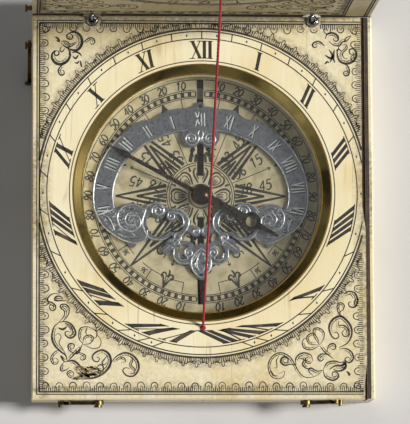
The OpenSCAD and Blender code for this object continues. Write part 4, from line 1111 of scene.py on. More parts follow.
card = dial_graver(CARD_TOP, 0.008, bold=1.6)
SCALE_FOOT, CHEQUER_IN, CHEQUER_OUT = 19.4, 19.7, 20.6
for radius, width in ((22.95, 0.1), (20.95, 0.1), (CHEQUER_OUT, 0.12), (CHEQUER_IN, 0.12), (SCALE_FOOT, 0.1)):
    card.ring((0, 0), radius, width, on_card)
for two_degrees in range(90):
    first, last = 4 * two_degrees + 1, 4 * two_degrees + 3
    middle = polar(CHEQUER_IN, (first + last) / 2)
    square = [polar(CHEQUER_OUT, first), polar(CHEQUER_OUT, last),
              polar(CHEQUER_IN, last), polar(CHEQUER_IN, first)]
    card.patch([(math.copysign(max(abs(x), SLOT_HALF + 0.02), middle[0]), y) for x, y in square])
for tens in range(36):
    heading = 10 * tens
    if heading % 180:
        card.line([polar(CHEQUER_OUT, heading), polar(21.15, heading)], 0.08)
    from_pole = min(heading % 180, 180 - heading % 180)
    for figure, side in zip(f"{from_pole}", (-1, 1)):
        if from_pole:
            figures(card, figure, polar(21.95, heading + side * 1.3), -heading, 1.55, 0.19)
print("chequer and degrees:", len(card.faces))

# %% [markdown]
# The star's points are long triangles with dark edges and a dark wedge inside, which the light paper
# between them turns into stripes. Between each pair of points the printer put a thin ray, a pair of
# boxes and an arrowhead with two curls.

# %% Star, rays and boxes
STAR_FOOT, STAR_HALF = 6.7, 2.05
WEDGES = ((1.0, 1.0, 0.74), (0.58, 0.52, 0.6), (0.25, 0.16, 0.45))
BOX_ARC = 17.25


def star_point(heading, tip):
    """One striped point of the star, as three nested wedges of a given length, spread and line width."""
    for share, spread, width in WEDGES:
        apex = polar(STAR_FOOT + (tip - STAR_FOOT) * share, heading)
        for side in (-1, 1):
            foot = polar(STAR_FOOT, heading) + polar(STAR_HALF * spread * side, heading + 90)
            points = [p for p in (apex + (foot - apex) * t for t in np.linspace(0, 1, 40)) if on_card(*p)]
            if len(points) > 2:
                outer = np.linspace(0.45 if share == 1.0 else 0.7, 1.0, len(points))[:, None]
                run = np.array(points)
                middle = (foot - apex) / np.linalg.norm(foot - apex)
                across = np.array([-middle[1], middle[0]]) * width / 2
                card.patch(np.vstack([run + across * outer, (run - across * outer)[::-1]]))


def arrowhead(heading):
    """Two strokes that meet at the scale, with a curl on each and a bud between."""
    for side in (-1, 1):
        card.line([polar(19.3, heading), polar(17.3, heading + side * 2.6)], 0.22)
        card.line([polar(19.3, heading), polar(17.0, heading + side * 0.9)], 0.12)
        curl = [(17.2, 0.4), (16.5, 2.0), (16.7, 3.6), (17.3, 3.9), (17.4, 3.0), (17.0, 2.7)]
        card.curve([polar(radius, heading + side * off) for radius, off in curl], 0.24, 0.4)
    card.curve([polar(17.1, heading), polar(16.3, heading - 0.6), polar(15.7, heading + 0.4)], 0.26, 0.5)


for eighth in range(8):
    heading = 45 * eighth
    star_point(heading, 16.6 if eighth % 2 == 0 else 19.3)
    arrowhead(heading + 22.5)
    card.line([polar(STAR_FOOT, heading + 22.5), polar(14.6, heading + 22.5)], 0.1)
    card.curve([polar(14.2, heading + 21.2), polar(14.7, heading + 22.5), polar(14.2, heading + 23.8)], 0.16)
    nearest = 90 * (eighth // 2 + eighth % 2)
    side = 1 if eighth % 2 == 0 else -1
    for off in (11.25, 33.75):
        card.line([polar(BOX_ARC, nearest + side * off), polar(SCALE_FOOT, nearest + side * off)], 0.11)
    for first, last in ((11.25, 19.8), (25.2, 41.3)):
        arc = [polar(BOX_ARC, nearest + side * a) for a in np.linspace(first, last, 12)]
        card.line(arc, 0.1)
    figures(card, "36", polar(18.3, nearest + side * 37.3), -nearest - side * 37.3, 0.95, 0.13)
WINDS = ("11 15", "33 45", "56 15", "78 45")
for place in range(16):
    heading = 11.25 + 22.5 * place
    text = WINDS[place % 4] if (place // 4) % 2 == 0 else WINDS[3 - place % 4]
    figures(card, text, polar(10.9, heading + 1.5), 90 - heading, 1.95, 0.2, free=on_card)
print("card strokes:", len(card.faces))

# %% [markdown]
# Inside the star two thin circles hold eight leaf-like petals round the needle's pivot. Each half of a
# petal is a curve given by radius and angle. Small curls stand on both sides of the noon slots.

# %% Petals at the centre
PETAL = ((2.7, 10), (3.5, 15), (4.5, 17), (5.3, 14), (5.75, 7), (5.6, 0))
PETAL_HEART = 4.3
SLOT_CURL = ((1.0, 0.0), (1.7, 0.7), (1.9, 1.5), (1.4, 1.9), (1.1, 1.4), (1.5, 1.2))
for radius in (6.6, 6.15, 2.35):
    card.ring((0, 0), radius, 0.12, on_card)
for eighth in range(8):
    heading = 45 * eighth
    for side in (-1, 1):
        for shrink, width in ((1.0, 0.24), (0.6, 0.14)):
            half_petal = [polar(PETAL_HEART + (radius - PETAL_HEART) * shrink, heading + side * off * shrink)
                          for radius, off in PETAL]
            half_petal = [p for p in smooth_line(half_petal) if on_card(*p)]
            if len(half_petal) > 2:
                card.line(half_petal, width, 0.3)
        card.line([polar(6.1, heading + side * 22.5), polar(5.2, heading + side * 21.5)], 0.16)
    for off in (-5, 0, 5):
        shade = [polar(3.0, heading + off), polar(4.4, heading + off * 0.8)]
        if all(on_card(*p) for p in shade):
            card.line(shade, 0.12)
for end in (1, -1):
    for side in (-1, 1):
        for start in (7.6, 10.4, 13.2):
            card.curve([(side * x, end * (start + y)) for x, y in SLOT_CURL], 0.18, 0.5)
card.piece("card_print", "base", card_ink, "card", 0.004)

# %% [markdown]
# ## Rubbed edges of the compass ring, with painted highlight
# Fingers and cloths have kept the ring's outer edge and the inner lip over the glass bright, while the
# slope between stays olive. Two hair-thin flat rings of clean brass are laid on those edges; their
# brightness is partly painted highlight, the light those edges catch.

# %% Rubbed edges of the compass ring, with painted highlight
rubbed_brass_highlight = make_metal("rubbed_brass_and_highlight", "#b9934a", "#8a6c38", 0.28, 0.5, 0.3, 0.003)
RUBBED_HIGHLIGHT_EDGES = (("bezel_rim_highlight", 24.96, BASE_TOP), ("bezel_lip_highlight", 23.32, 8.02))
# rings of rubbed brass that also paint the highlight on the ring's edges
for name, radius, height in RUBBED_HIGHLIGHT_EDGES:
    rub = dial_graver(height, 0.006)
    rub.ring((0, 0), radius, 0.2)
    rub.piece(name, "base", rubbed_brass_highlight, "brass", 0.02)

# %% [markdown]
# ## Chasing on the hour plate
# The pewter plate was cast and then chased: raised rims round the openings, spiral heads on the
# scrolls, punched dots, and hour numerals cut through to bright metal. The CAD node gives the plate's
# openwork. Two round volutes hang side by side under noon and are drawn here as one flat outline, as
# thick as most of the plate. Places on the plate are in hundredths of its half width.

# %% The two volutes
plate_low, plate_high = node_box("hour_plate")
PLATE_TOP, PLATE_HALF_W = plate_high[2], (plate_high[0] - plate_low[0]) / 2
UNIT = PLATE_HALF_W / 100
VOLUTE_X, VOLUTE_Y, VOLUTE_R, VOLUTE_DEEP = 8.4, 53.2, 8.2, 0.45

lobe = [(VOLUTE_X + VOLUTE_R * math.cos(math.radians(a)), VOLUTE_Y + VOLUTE_R * math.sin(math.radians(a)))
        for a in range(60, -151, -6)]
volutes = dial_graver(PLATE_TOP, 0.004)
volutes.patch(np.array([(-10, 62.5), (10, 62.5)] + lobe + [(-x, y) for x, y in reversed(lobe)]) * UNIT)
volutes.piece("plate_volutes", "plate", cast_pewter, "pewter", VOLUTE_DEEP)

# %% [markdown]
# Raised work and coiled thread are both round wires. A curve object with a bevel gives them: its
# splines are the wires' middles, and the radius at each point lets a wire swell and thin.

# %% Ellipses, spirals and round wires
def ellipse(wide, tall, first, last, count=60):
    """Points on an ellipse between two angles from the top, clockwise positive."""
    return [(wide * math.sin(math.radians(a)), tall * math.cos(math.radians(a)))
            for a in np.linspace(first, last, count)]


def spiral(x, y, radius, start, turns, wind=1, inner=0.25):
    """A spiral that shrinks round a point from a start angle."""
    steps = int(18 * turns) + 2
    share = np.linspace(0, 1, steps)
    angle = math.radians(start) + wind * share * turns * 2 * math.pi
    size = radius * (1 - (1 - inner) * share)
    return list(zip(x + size * np.cos(angle), y + size * np.sin(angle)))


def round_wires(name, radius, resolution, runs, body, material):
    """One object of round wires. A run is a list of x, y, z in mm and a share of the radius."""
    data = bpy.data.curves.new(name, "CURVE")
    data.dimensions, data.bevel_depth, data.bevel_resolution = "3D", radius * MM, resolution
    data.use_fill_caps = True
    for run in runs:
        wire = data.splines.new("POLY")
        wire.points.add(len(run) - 1)
        for point, (x, y, z, share) in zip(wire.points, run):
            point.co, point.radius = (x * MM, y * MM, z * MM, 1), share
    made = bpy.data.objects.new(name, data)
    bpy.context.scene.collection.objects.link(made)
    data.materials.append(material)
    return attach(made, body)


print("a spiral of one turn has", len(spiral(0, 0, 1, 0, 1)), "points")

# %% [markdown]
# The raised work is laid on the plate as half-sunk strips, each thinning towards its ends. The left
# half is listed and the right half mirrors it.

# %% Raised rims and scrolls
# The raised strips are rubbed pewter, lighter than the plate, and their brightness also paints the highlights
# along the rims.
chased_pewter_and_highlight = make_metal("chased_pewter_and_highlight", "#d0d4db", "#80838a", 0.27, 0.4, 0.4, 0.008)
WINDOW_W, WINDOW_H = 80.6, 61.2
BAND_OUT_W, BAND_OUT_H = 100.0, 83.4
STRIP_SINK, STRIP_SWELL = 0.02, 1.15


def plate_strip(radius, points):
    """A strip's points on the plate, with a radius in mm that falls by half towards both ends."""
    ends = len(points) - 1
    return [(DIAL[0] + x * UNIT, DIAL[1] + y * UNIT, PLATE_TOP - STRIP_SINK,
             STRIP_SWELL * radius * (1 - 0.5 * abs(2 * k / ends - 1) ** 3))
            for k, (x, y) in enumerate(points)]


half_strips = [
    (0.13, ellipse(WINDOW_W + 0.8, WINDOW_H + 0.8, 8, 101)),
    (0.11, ellipse(BAND_OUT_W - 1.0, BAND_OUT_H - 1.0, 48, 99)),
    (0.14, smooth_line([(-50, -14), (-59, -9), (-67, -9), (-74, -13), (-77, -21), (-73, -30), (-63, -33),
                        (-56, -28), (-57, -20), (-64, -18), (-67, -23)], 1.5)),
    (0.13, smooth_line([(-98, -12), (-93, -24), (-85, -33), (-74, -40), (-62, -44), (-52, -41),
                        (-49, -32)], 1.5)),
    (0.15, smooth_line([(-51, -14), (-54, -26), (-48, -38), (-37, -41), (-29, -38)], 1.5)),
    (0.15, spiral(-39, -14, 6.4, 200, 1.6, -1)),
    (0.14, smooth_line([(-54, -16), (-48, -9), (-39, -7), (-32, -11)], 1.5)),
    (0.14, spiral(-27, -19, 4.6, 20, 1.5, 1)),
    (0.15, smooth_line([(-27, -12.8), (-19, -13), (-12, -20), (-12, -29), (-17, -36)], 1.5)),
    (0.16, spiral(-21, -39, 4.4, 100, 1.2, 1)),
    (0.14, smooth_line([(-17, -36), (-22, -42), (-28, -46), (-34, -51)], 1.5)),
    (0.15, smooth_line([(-25, -50), (-24.5, -58), (-17, -63), (-8, -61), (-3, -54)], 1.5)),
    (0.14, spiral(-11, -53, 4.8, 60, 1.4, 1)),
    (0.13, spiral(-4.7, -33, 4.3, 150, 1.4, -1)),
    (0.13, spiral(-VOLUTE_X, VOLUTE_Y, 7.3, 60, 1.8, -1)),
    (0.1, spiral(-VOLUTE_X, VOLUTE_Y, 3.2, 150, 0.9, 1)),
    (0.09, smooth_line([(-1.2, 60.5), (-2.6, 57), (-0.9, 54), (-1.4, 51)], 1.5)),
    (0.15, smooth_line([(0, -49), (-4, -52), (-9, -60), (-8, -68), (-3, -74), (0, -76)], 1.5)),
    (0.1, smooth_line([(-1, -53), (-4, -60), (-3, -68), (0, -72)], 1.5)),
    (0.11, smooth_line([(-90, -18), (-84, -22), (-80, -32), (-84, -30)], 1.5)),
    (0.11, smooth_line([(-77, -35), (-70, -38), (-61, -38), (-64, -34)], 1.5)),
    (0.12, smooth_line([(-60, -26), (-66, -28), (-70, -22), (-66, -16), (-61, -17)], 1.5)),
    (0.11, smooth_line([(-24, -15), (-18, -18), (-16, -26), (-19, -30)], 1.5)),
    (0.11, smooth_line([(-25, -38), (-20, -44), (-26, -47), (-31, -46)], 1.5)),
    (0.11, smooth_line([(-21, -53), (-19, -59), (-12, -59), (-14, -55)], 1.5)),
    (0.11, smooth_line([(-6, -55), (-3, -59), (-6, -64), (-3, -68)], 1.5)),
]
both = half_strips + [(r, [(-x, y) for x, y in p]) for r, p in half_strips]
round_wires("plate_chasing", 1.0, 2, [plate_strip(*strip) for strip in both],
            "plate", chased_pewter_and_highlight)
print("raised strips:", len(both))

# %% [markdown]
# Numerals are flat cuts, so the graver from before draws them, in bright metal with a dark line beside
# that is painted shade of the cut.
# They run the other way round, because the plate is read against the needle.

# %% Numerals on the plate
bright_cuts = dial_graver(PLATE_TOP, 0.014)
scraped_pewter = make_metal("scraped_pewter", "#c6cad0", "#9ca0a8", 0.5, 0.3, 0.3, 0.004)
dark_cuts_and_shade = dial_graver(PLATE_TOP, 0.01)
NUMERAL_PATH = (19.05, 15.1)
PLATE_TEXTS = ("XII", "I", "II", "III", "IIII", "V", "VI")
PLATE_TURNS = (0, 17, 33, 49, 66, 84, 101)
PLATE_TALL, PLATE_WIDE = 2.5, 1.25
PLATE_PACE = {"I": 0.62, "V": 1.0, "X": 1.0}
STROKES = {"I": [((0, 0), (0, 1))], "V": [((-.3, 1), (0, 0)), ((0, 0), (.3, 1))],
           "X": [((-.3, 1), (.3, 0)), ((-.3, 0), (.3, 1))]}
MIRRORED = {"I": "XI", "II": "X", "III": "IX", "IIII": "VIII", "V": "VII", "VI": "VI"}
hand = random.Random(5)


def plate_numeral(text, turn):
    """A numeral on the band, cut by an unsteady hand, upright towards the plate's edge."""
    x, y = ellipse(*NUMERAL_PATH, turn, turn, 1)[0]
    heading = math.radians(turn)
    out = np.array([math.sin(heading), math.cos(heading)])
    side = np.array([out[1], -out[0]])
    start = -sum(PLATE_PACE[c] for c in text) / 2
    for glyph in text:
        start += PLATE_PACE[glyph] / 2
        for stroke in STROKES[glyph]:
            ends = [np.array([x, y]) + side * (start + u * PLATE_WIDE + hand.uniform(-0.06, 0.06))
                    + out * ((v - 0.5) * PLATE_TALL + hand.uniform(-0.2, 0.2)) for u, v in stroke]
            bright_cuts.line(ends, hand.uniform(0.16, 0.27))
            # painted shade: a dark line beside each bright stroke
            dark_cuts_and_shade.line([e + side * 0.24 for e in ends], 0.2)
        start += PLATE_PACE[glyph] / 2


for text, turn in zip(PLATE_TEXTS, PLATE_TURNS):
    plate_numeral(text, -turn)
    if turn:
        plate_numeral(MIRRORED[text], turn)
print("cuts for the plate's numerals:", len(bright_cuts.faces))

# %% [markdown]
# Punch marks fill the solid parts of the plate: dots and short bent strokes, bright or dark. They are
# strewn at random round five spots, and a ray cast straight down tests that metal lies under each.

# %% Punched marks and dark seams on the plate
hour_plate, world_now = nodes["hour_plate"], bpy.context.evaluated_depsgraph_get()
RAY_START, MARK_ROOM, MARKS = 30.0, 0.35, 420
CHASED = ((-0.84, -0.26, 0.14), (-0.67, -0.22, 0.11), (-0.38, -0.15, 0.07), (-0.24, -0.42, 0.07),
          (0, -0.62, 0.09))
CHASED_SHARES = (9, 8, 2, 2, 2)


def on_metal(point):
    """True where the plate lies under four points close round this one."""
    for turn in (0, 90, 180, 270):
        x, y = point + polar(MARK_ROOM, turn)
        above = Vector((DIAL[0] + x, DIAL[1] + y, RAY_START)) * MM
        above = hour_plate.matrix_world.inverted() @ above
        if not hour_plate.ray_cast(above, (0, 0, -1), depsgraph=world_now)[0]:
            return False
    return True


punch = random.Random(12)
for mark in range(MARKS):
    x, y, reach = punch.choices(CHASED, CHASED_SHARES)[0]
    middle = np.array([x * punch.choice((-1, 1)), y])
    centre = middle + polar(reach * math.sqrt(punch.random()), punch.uniform(0, 360))
    centre *= PLATE_HALF_W
    if not on_metal(centre):
        continue
    graver = bright_cuts if punch.random() < 0.4 else dark_cuts_and_shade
    if mark % 2:
        graver.dot(centre, punch.uniform(0.07, 0.14))
    else:
        turn, half = punch.uniform(0, 360), punch.uniform(0.15, 0.32)
        bent = centre + polar(0.14, turn + 90)
        graver.curve([centre - polar(half, turn), bent, centre + polar(half, turn)], 0.15)
DARK_SEAMS = (((-92, -10), (-86, -22), (-76, -34)), ((-70, -36), (-64, -40), (-56, -39)),
              ((-70, -14), (-66, -12), (-60, -13)), ((-45, -33), (-38, -36), (-31, -34)),
              ((-24, -41), (-28, -44), (-32, -48)), ((-20, -57), (-14, -60), (-8, -58)),
              ((-3, -56), (-6, -62), (-4, -70)))
for side in (-1, 1):
    for points in DARK_SEAMS:
        dark_cuts_and_shade.curve([(x * UNIT * side, y * UNIT) for x, y in points], 0.14)
bright_cuts.piece("plate_bright_cuts", "plate", scraped_pewter, "pewter", 0.01)
dark_cuts_and_shade.piece("plate_dark_cuts_and_shade", "plate", pewter_tarnish_and_shade, "pewter", 0.01)

# %% [markdown]
# ## The upright lid
# The lid's inner face carries the lunar dial: a disc that turns in a round recess, with the hours round
# it and a fringe outside. The same scrolls fill the corners. The bottom of this face shows at the top
# of the photograph: two ruled lines, a wavy stem with leaves, the scrolls and the edge of the fringe.
# A plain strip at the right side is ruled off. Heights are counted from the lid's lower edge.

# %% Rings of numbers and placed scrolls
def ring_numbers(graver, centre, radius, values, tall, width=0.14, free=None, start=0.0):
    """Numbers evenly round a circle, clockwise from the top, their tops outwards."""
    for place, value in enumerate(values):
        heading = start + 360 * place / len(values)
        figures(graver, str(value), centre + polar(radius, heading), -heading, tall, width, free=free)


def rays(graver, centre, inner, outer, count, width, start=0.0, free=None):
    """Short straight lines from one radius to another, evenly round a centre."""
    for k in range(count):
        ends = [centre + polar(r, start + 360 * k / count) for r in (inner, outer)]
        if free is None or all(free(*e) for e in ends):
            graver.line(ends, width)


def rosette(graver, centre, inner, outer, petals, width):
    """Leaf-shaped petals round a centre, each with a middle vein."""
    for k in range(petals):
        heading = 360 * k / petals
        for side in (-1, 1):
            leaf = [(inner, 0), ((inner + outer) * 0.5, side * 120 / petals), (outer, 0)]
            graver.curve([centre + polar(r, heading + off) for r, off in leaf], width, 0.4)
        graver.line([centre + polar(inner, heading), centre + polar(outer * 0.8, heading)], width * 0.6)


def ruled_frame(graver, left, right, low, high, width=0.17):
    """A pair of ruled rectangles, one line spacing apart."""
    for inset in (0.0, RULE_INNER - RULE_OUTER):
        l, r, b, t = left + inset, right - inset, low + inset, high - inset
        for ends in ([(l, b), (r, b)], [(r, b), (r, t)], [(r, t), (l, t)], [(l, t), (l, b)]):
            graver.line(ends, width)


print("frame lines apart in mm:", round(RULE_INNER - RULE_OUTER, 2))

# %% [markdown]
# The inner face is drawn with a bolder line than the base, because the photograph shows it darker and
# its cuts are wider. The corner scrolls are those of the base's lower right corner, mirrored into the
# four corners. A thin brown band along the joint at its foot is painted shade of the crease between lid
# and base.

# %% Inner face of the lid
lid_low, lid_high = node_box("lid_tablet")
moon_low, moon_high = node_box("moon_disc")
MOON = np.array([(moon_low[0] + moon_high[0]) / 2, (moon_low[2] + moon_high[2]) / 2 - lid_low[2]])
LID_TALL = lid_high[2] - lid_low[2]
STRIP_EDGE = lid_high[0]
HOUR_RINGS = (18.0, 21.7, 25.1)
SCROLL_LIFT, LEFT_SHIFT, RIGHT_SHIFT = 2.2, -0.5, -4.3
FIELD_LEFT, FIELD_RIGHT, FIELD_FOOT = lid_low[0] + RULE_INNER, STRIP_EDGE - 0.9, 4.3
STEM_HEIGHT, STEM_WAVE, LEAVES_SPACED = 2.9, 0.5, 2.513


def inner_field(x, h):
    """True inside the ruled frame, above the band with the stem."""
    return FIELD_LEFT < x < STRIP_EDGE - 0.5 and FIELD_FOOT < h < LID_TALL - RULE_INNER


def on_lid(x, h):
    """True on that field outside the lunar dial."""
    return inner_field(x, h) and math.hypot(x - MOON[0], h - MOON[1]) > HOUR_RINGS[2] + 0.1


inner = Graver((0, lid_low[1], lid_low[2]), (1, 0, 0), (0, 0, 1), bold=1.9, holes=LID_POCKETS)
ruled_frame(inner, lid_low[0] + RULE_OUTER, STRIP_EDGE - 0.45, 0.9, LID_TALL - RULE_OUTER)
for x in (BASE_X - RULE_INNER, BASE_X - RULE_OUTER):
    inner.line([(x, 0.1), (x, LID_TALL - 0.1)], 0.17)
inner.line([(x, STEM_HEIGHT + STEM_WAVE * math.sin(x * 1.25))
            for x in np.arange(lid_low[0] + 1.9, FIELD_RIGHT, 0.4)], 0.15)
LEAF = ((0, 0), (0.7, 0.85), (1.6, 0.4), (0.9, 0))
for k, x in enumerate(np.arange(lid_low[0] + 2.6, STRIP_EDGE - 2.0, LEAVES_SPACED)):
    side = 1 if k % 2 else -1
    inner.curve([(x + u, STEM_HEIGHT + side * v) for u, v in LEAF], 0.3, 0.5)
inner.line([(FIELD_LEFT, FIELD_FOOT - 0.15), (FIELD_RIGHT, FIELD_FOOT - 0.15)], 0.14)
for radius, width in zip(HOUR_RINGS, (0.2, 0.14, 0.22)):
    inner.ring(MOON, radius, width)
lace_round(inner, MOON, HOUR_RINGS[2], inner_field, 21)
fringed_sides(inner, FIELD_LEFT, FIELD_RIGHT, FIELD_FOOT, LID_TALL - RULE_INNER, on_lid, (None, 31, 32, 33))
ring_numbers(inner, MOON, (HOUR_RINGS[1] + HOUR_RINGS[2]) / 2, list(range(12, 0, -1)) * 2, 1.9, 0.2)
rays(inner, MOON, HOUR_RINGS[0], HOUR_RINGS[1], 48, 0.12)
rays(inner, MOON, HOUR_RINGS[1], HOUR_RINGS[1] + 0.8, 96, 0.1)
for width, points in LOWER_RIGHT:
    low_corner = [(x, y + BASE_Y + SCROLL_LIFT) for x, y in points]
    high_corner = [(x, LID_TALL - h + SCROLL_LIFT) for x, h in low_corner]
    for corner in (low_corner, high_corner):
        inner.curve([(-x + LEFT_SHIFT, h) for x, h in corner], width, 0.6)
        inner.curve([(x + RIGHT_SHIFT, h) for x, h in corner], width, 0.6)
inner.piece("lid_inner_engraving", "lid", engraving_black_and_joint_shade, "ivory")
# painted shade: a brown band along the lid's foot
lid_foot_shade = Graver((0, lid_low[1], lid_low[2]), (1, 0, 0), (0, 0, 1), 0.006, holes=LID_POCKETS)
lid_foot_shade.line([(lid_low[0] + 0.1, 0.4), (lid_high[0] - 0.1, 0.4)], 0.7)
lid_foot_shade.piece("lid_foot_painted_shade", "lid", seam_glue_and_shade, "ivory", 0.01)

# %% [markdown]
# ## The lunar disc
# The disc is divided in twenty-nine and a half days. A round hole shows the phase, and lines join the
# days a third, a quarter and a sixth of the month apart, the usual aspects.

# %% Days and aspects on the lunar disc
PHASE_HOLE, PHASE_CLEAR = np.array([0.0, 9.0]), 2.6
LUNAR_DAYS = 29


def off_phase(x, y):
    """True away from the phase hole and the rivet."""
    return math.hypot(x - PHASE_HOLE[0], y - PHASE_HOLE[1]) > PHASE_CLEAR and math.hypot(x, y) > 2.5


MOON_RINGS = (16.7, 16.2, 13.2, 12.9, 6.2)
lunar = Graver((MOON[0], moon_low[1], MOON[1] + lid_low[2]), (1, 0, 0), (0, 0, 1), bold=1.3)
for radius in MOON_RINGS:
    lunar.ring((0, 0), radius, 0.15, off_phase)
ring_numbers(lunar, (0, 0), 14.7, range(1, LUNAR_DAYS + 1), 1.5, 0.16)
rays(lunar, (0, 0), MOON_RINGS[1], MOON_RINGS[0], 2 * LUNAR_DAYS + 1, 0.12)
for corners in (3, 4, 6):
    for k in range(corners):
        first, last = (polar(MOON_RINGS[3], 360 * (k + s) / corners + 180) for s in (0, 1))
        run = [p for p in (first + (last - first) * t for t in np.linspace(0, 1, 60)) if off_phase(*p)]
        gaps = [i for i in range(1, len(run)) if np.linalg.norm(run[i] - run[i - 1]) > 0.8]
        for a, b in zip([0, *gaps], [*gaps, len(run)]):
            lunar.line(run[a:b], 0.14)
rosette(lunar, (0, 0), 2.7, 6.0, 8, 0.15)
lunar.curve([(-0.5, 11.8), (0, 12.9), (0.5, 11.8)], 0.2)
lunar.piece("moon_disc_engraving", "moon", engraving_black_and_joint_shade, "ivory")

# %% [markdown]
# ## The lid's outer face
# Shut, the instrument shows this face. It is quieter: a ruled frame, two hour circles and a wind rose
# in leaf work, with the smaller scrolls in the corners. The photograph doesn't show it, so it follows
# what such instruments have.

# %% Outer face of the lid
OUTER_CENTRE = np.array([0.0, LID_TALL / 2])
ROSE_EDGE = 27.5
outer_side = Graver((0, lid_high[1], lid_low[2]), (-1, 0, 0), (0, 0, 1), bold=1.4)
ruled_frame(outer_side, -BASE_X + RULE_OUTER, BASE_X - RULE_OUTER, RULE_OUTER, LID_TALL - RULE_OUTER)
for radius, width in ((ROSE_EDGE, 0.22), (27.0, 0.14), (23.6, 0.14), (15.4, 0.18), (15.0, 0.12)):
    outer_side.ring(OUTER_CENTRE, radius, width)
ring_numbers(outer_side, OUTER_CENTRE, 25.3, list(range(1, 13)) * 2, 2.0, 0.22, start=7.5)
rays(outer_side, OUTER_CENTRE, 23.6, 27.0, 24, 0.12)
rays(outer_side, OUTER_CENTRE, 22.9, 23.6, 96, 0.11)
rosette(outer_side, OUTER_CENTRE, 3.0, 14.2, 8, 0.22)
rosette(outer_side, OUTER_CENTRE, 15.8, 22.4, 16, 0.18)
outer_side.ring(OUTER_CENTRE, 2.6, 0.2)


def beyond_rose(x, h):
    """True inside the ruled frame and outside the hour circles."""
    inside = abs(x) < BASE_X - RULE_INNER and RULE_INNER < h < LID_TALL - RULE_INNER
    return inside and math.hypot(x - OUTER_CENTRE[0], h - OUTER_CENTRE[1]) > ROSE_EDGE + 0.1


fringed_sides(outer_side, -BASE_X + RULE_INNER, BASE_X - RULE_INNER, RULE_INNER, LID_TALL - RULE_INNER,
              beyond_rose, range(40, 44))
for width, points in UPPER_LEFT:
    for across in (1, -1):
        outer_side.curve([(across * x, y + BASE_Y) for x, y in points], width, 0.6)
        outer_side.curve([(across * x, LID_TALL - y - BASE_Y) for x, y in points], width, 0.6)
outer_side.piece("lid_outer_engraving", "lid", engraving_black_and_joint_shade, "ivory")

# %% [markdown]
# ## Under the base
# A metal disc with the months and days is let into the underside. Turning it by the finger hole
# moves the hour plate in the compass. The ivory round it rests on the table and stays plain.

# %% The calendar disc
DISC_FACE = node_box("calendar_disc")[0][2]
FINGER_HOLE, FINGER_CLEAR = 20.49, 1.9


def off_finger(x, y):
    """True away from the finger hole and the rivet."""
    return math.hypot(x, y - FINGER_HOLE) > FINGER_CLEAR and math.hypot(x, y) > 2.5


calendar = Graver((DIAL[0], DIAL[1], DISC_FACE), (-1, 0, 0), (0, 1, 0), bold=1.3)
for radius in (23.6, 18.3, 17.9, 14.2, 8.6):
    calendar.ring((0, 0), radius, 0.16, off_finger)
ring_numbers(calendar, (0, 0), 20.9, range(1, 32), 1.5, 0.18, off_finger)
rays(calendar, (0, 0), 22.6, 23.6, 62, 0.12, free=off_finger)
ring_numbers(calendar, (0, 0), 16.0, range(1, 13), 2.2, 0.22, start=15.0)
rays(calendar, (0, 0), 14.2, 17.9, 12, 0.14)
rosette(calendar, (0, 0), 2.8, 8.2, 12, 0.18)
rosette(calendar, (0, 0), 9.0, 13.8, 12, 0.16)
calendar.piece("calendar_engraving", "calendar", pewter_tarnish_and_shade, "pewter", 0.01)

# %% [markdown]
# ## The thread
# A two-ply silk cord, half a millimetre thick, runs taut from a knot under the dial to a knot behind
# the lid. It is built as a tube whose section is two plies side by side and turns once every 1.7 mm.

# %% The twisted thread
thread_low, thread_high = node_box("gnomon_thread")
thread_middle = (thread_low[0] + thread_high[0]) / 2
foot_point = np.array([thread_middle, FOOT[1], BASE_TOP])
THREAD_RADIUS, TWIST_PITCH, PLY_DIP = 0.25, 1.7, 0.2
head_point = np.array([thread_middle, lid_low[1], thread_high[2] - THREAD_RADIUS])
thread_length = float(np.linalg.norm(head_point - foot_point))
RINGS, SIDES = 520, 12
heading_up = (head_point - foot_point) / thread_length
across = np.array([1.0, 0.0, 0.0])
square = np.cross(heading_up, across)
points, faces = [], []
for k in range(RINGS + 1):
    share = k / RINGS
    twist = 2 * math.pi * share * thread_length / TWIST_PITCH
    for s in range(SIDES):
        angle = 2 * math.pi * s / SIDES
        size = THREAD_RADIUS * (1 - PLY_DIP * math.sin(angle - twist) ** 4)
        points.append(foot_point + heading_up * thread_length * share
                      + size * (math.cos(angle) * across + math.sin(angle) * square))
for k in range(RINGS):
    for s in range(SIDES):
        a, b = k * SIDES + s, k * SIDES + (s + 1) % SIDES
        faces.append((a, b, b + SIDES, a + SIDES))
faces.append(tuple(range(SIDES))[::-1])
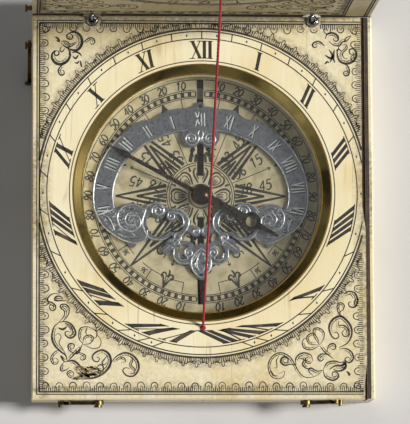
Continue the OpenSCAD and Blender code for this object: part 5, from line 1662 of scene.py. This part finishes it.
faces.append(tuple(RINGS * SIDES + s for s in range(SIDES)))
thread_mesh = bpy.data.meshes.new("twisted_thread")
thread_mesh.from_pydata([tuple(p * MM) for p in points], [], faces)
thread_mesh.materials.append(red_silk)
thread = bpy.data.objects.new("twisted_thread", thread_mesh)
bpy.context.scene.collection.objects.link(thread)
for face in thread_mesh.polygons:
    face.use_smooth = True
print("thread length in mm:", round(thread_length, 2))

# %% [markdown] When the lid shuts, the thread goes slack between the tablets. The usual smooth share
# would lift the thread into the tablets, so the share is set to the one that keeps the shut thread
# lying on the base: for a point a fraction t of the way up, the direction from the hinge to the point
# turns by exactly its own angle above the base.

# %% Bend the thread with the lid
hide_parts("gnomon_thread")
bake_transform(thread, "base", "lid", start=tuple(foot_point * MM), end=tuple(head_point * MM))
hinge_gap = node_box("lid_tablet")[0][2]
reach_back, reach_up = BASE_Y - FOOT[1], head_point[2] - hinge_gap
weights = []
for x, y, z in points:
    t = min(max((y - FOOT[1]) / (head_point[1] - FOOT[1]), 0.0), 1.0)
    weights.append(2 / math.pi * math.atan2(reach_up * t, reach_back * (1 - t)))
thread_mesh.attributes["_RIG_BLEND"].data.foreach_set("value", weights)
print("half way up the thread turns by", round(weights[len(weights) // 2], 3), "of the lid's angle")

# %% [markdown]
# At the dial the thread comes out through a small turn of the same silk that stops it from slipping.
# It lies half sunk in the mouth of its hole, low enough for the lid to shut over it, and rides on the
# base.

# %% The stop knot on the dial
COIL_RADIUS, COIL_TURNS, COIL_RISE, COIL_SINK = 0.36, 1.1, 0.03, 0.02
COIL_STEPS = int(16 * COIL_TURNS)
coil = []
for k in range(COIL_STEPS + 1):
    angle = 2 * math.pi * COIL_TURNS * k / COIL_STEPS
    coil.append((foot_point[0] + COIL_RADIUS * math.cos(angle), foot_point[1] + COIL_RADIUS * math.sin(angle),
                 foot_point[2] - COIL_SINK + COIL_RISE * k / COIL_STEPS, 1.0))
round_wires("thread_stop", 0.23, 3, [coil], "base", red_silk)
print("stop knot at", [round(v, 2) for v in foot_point])
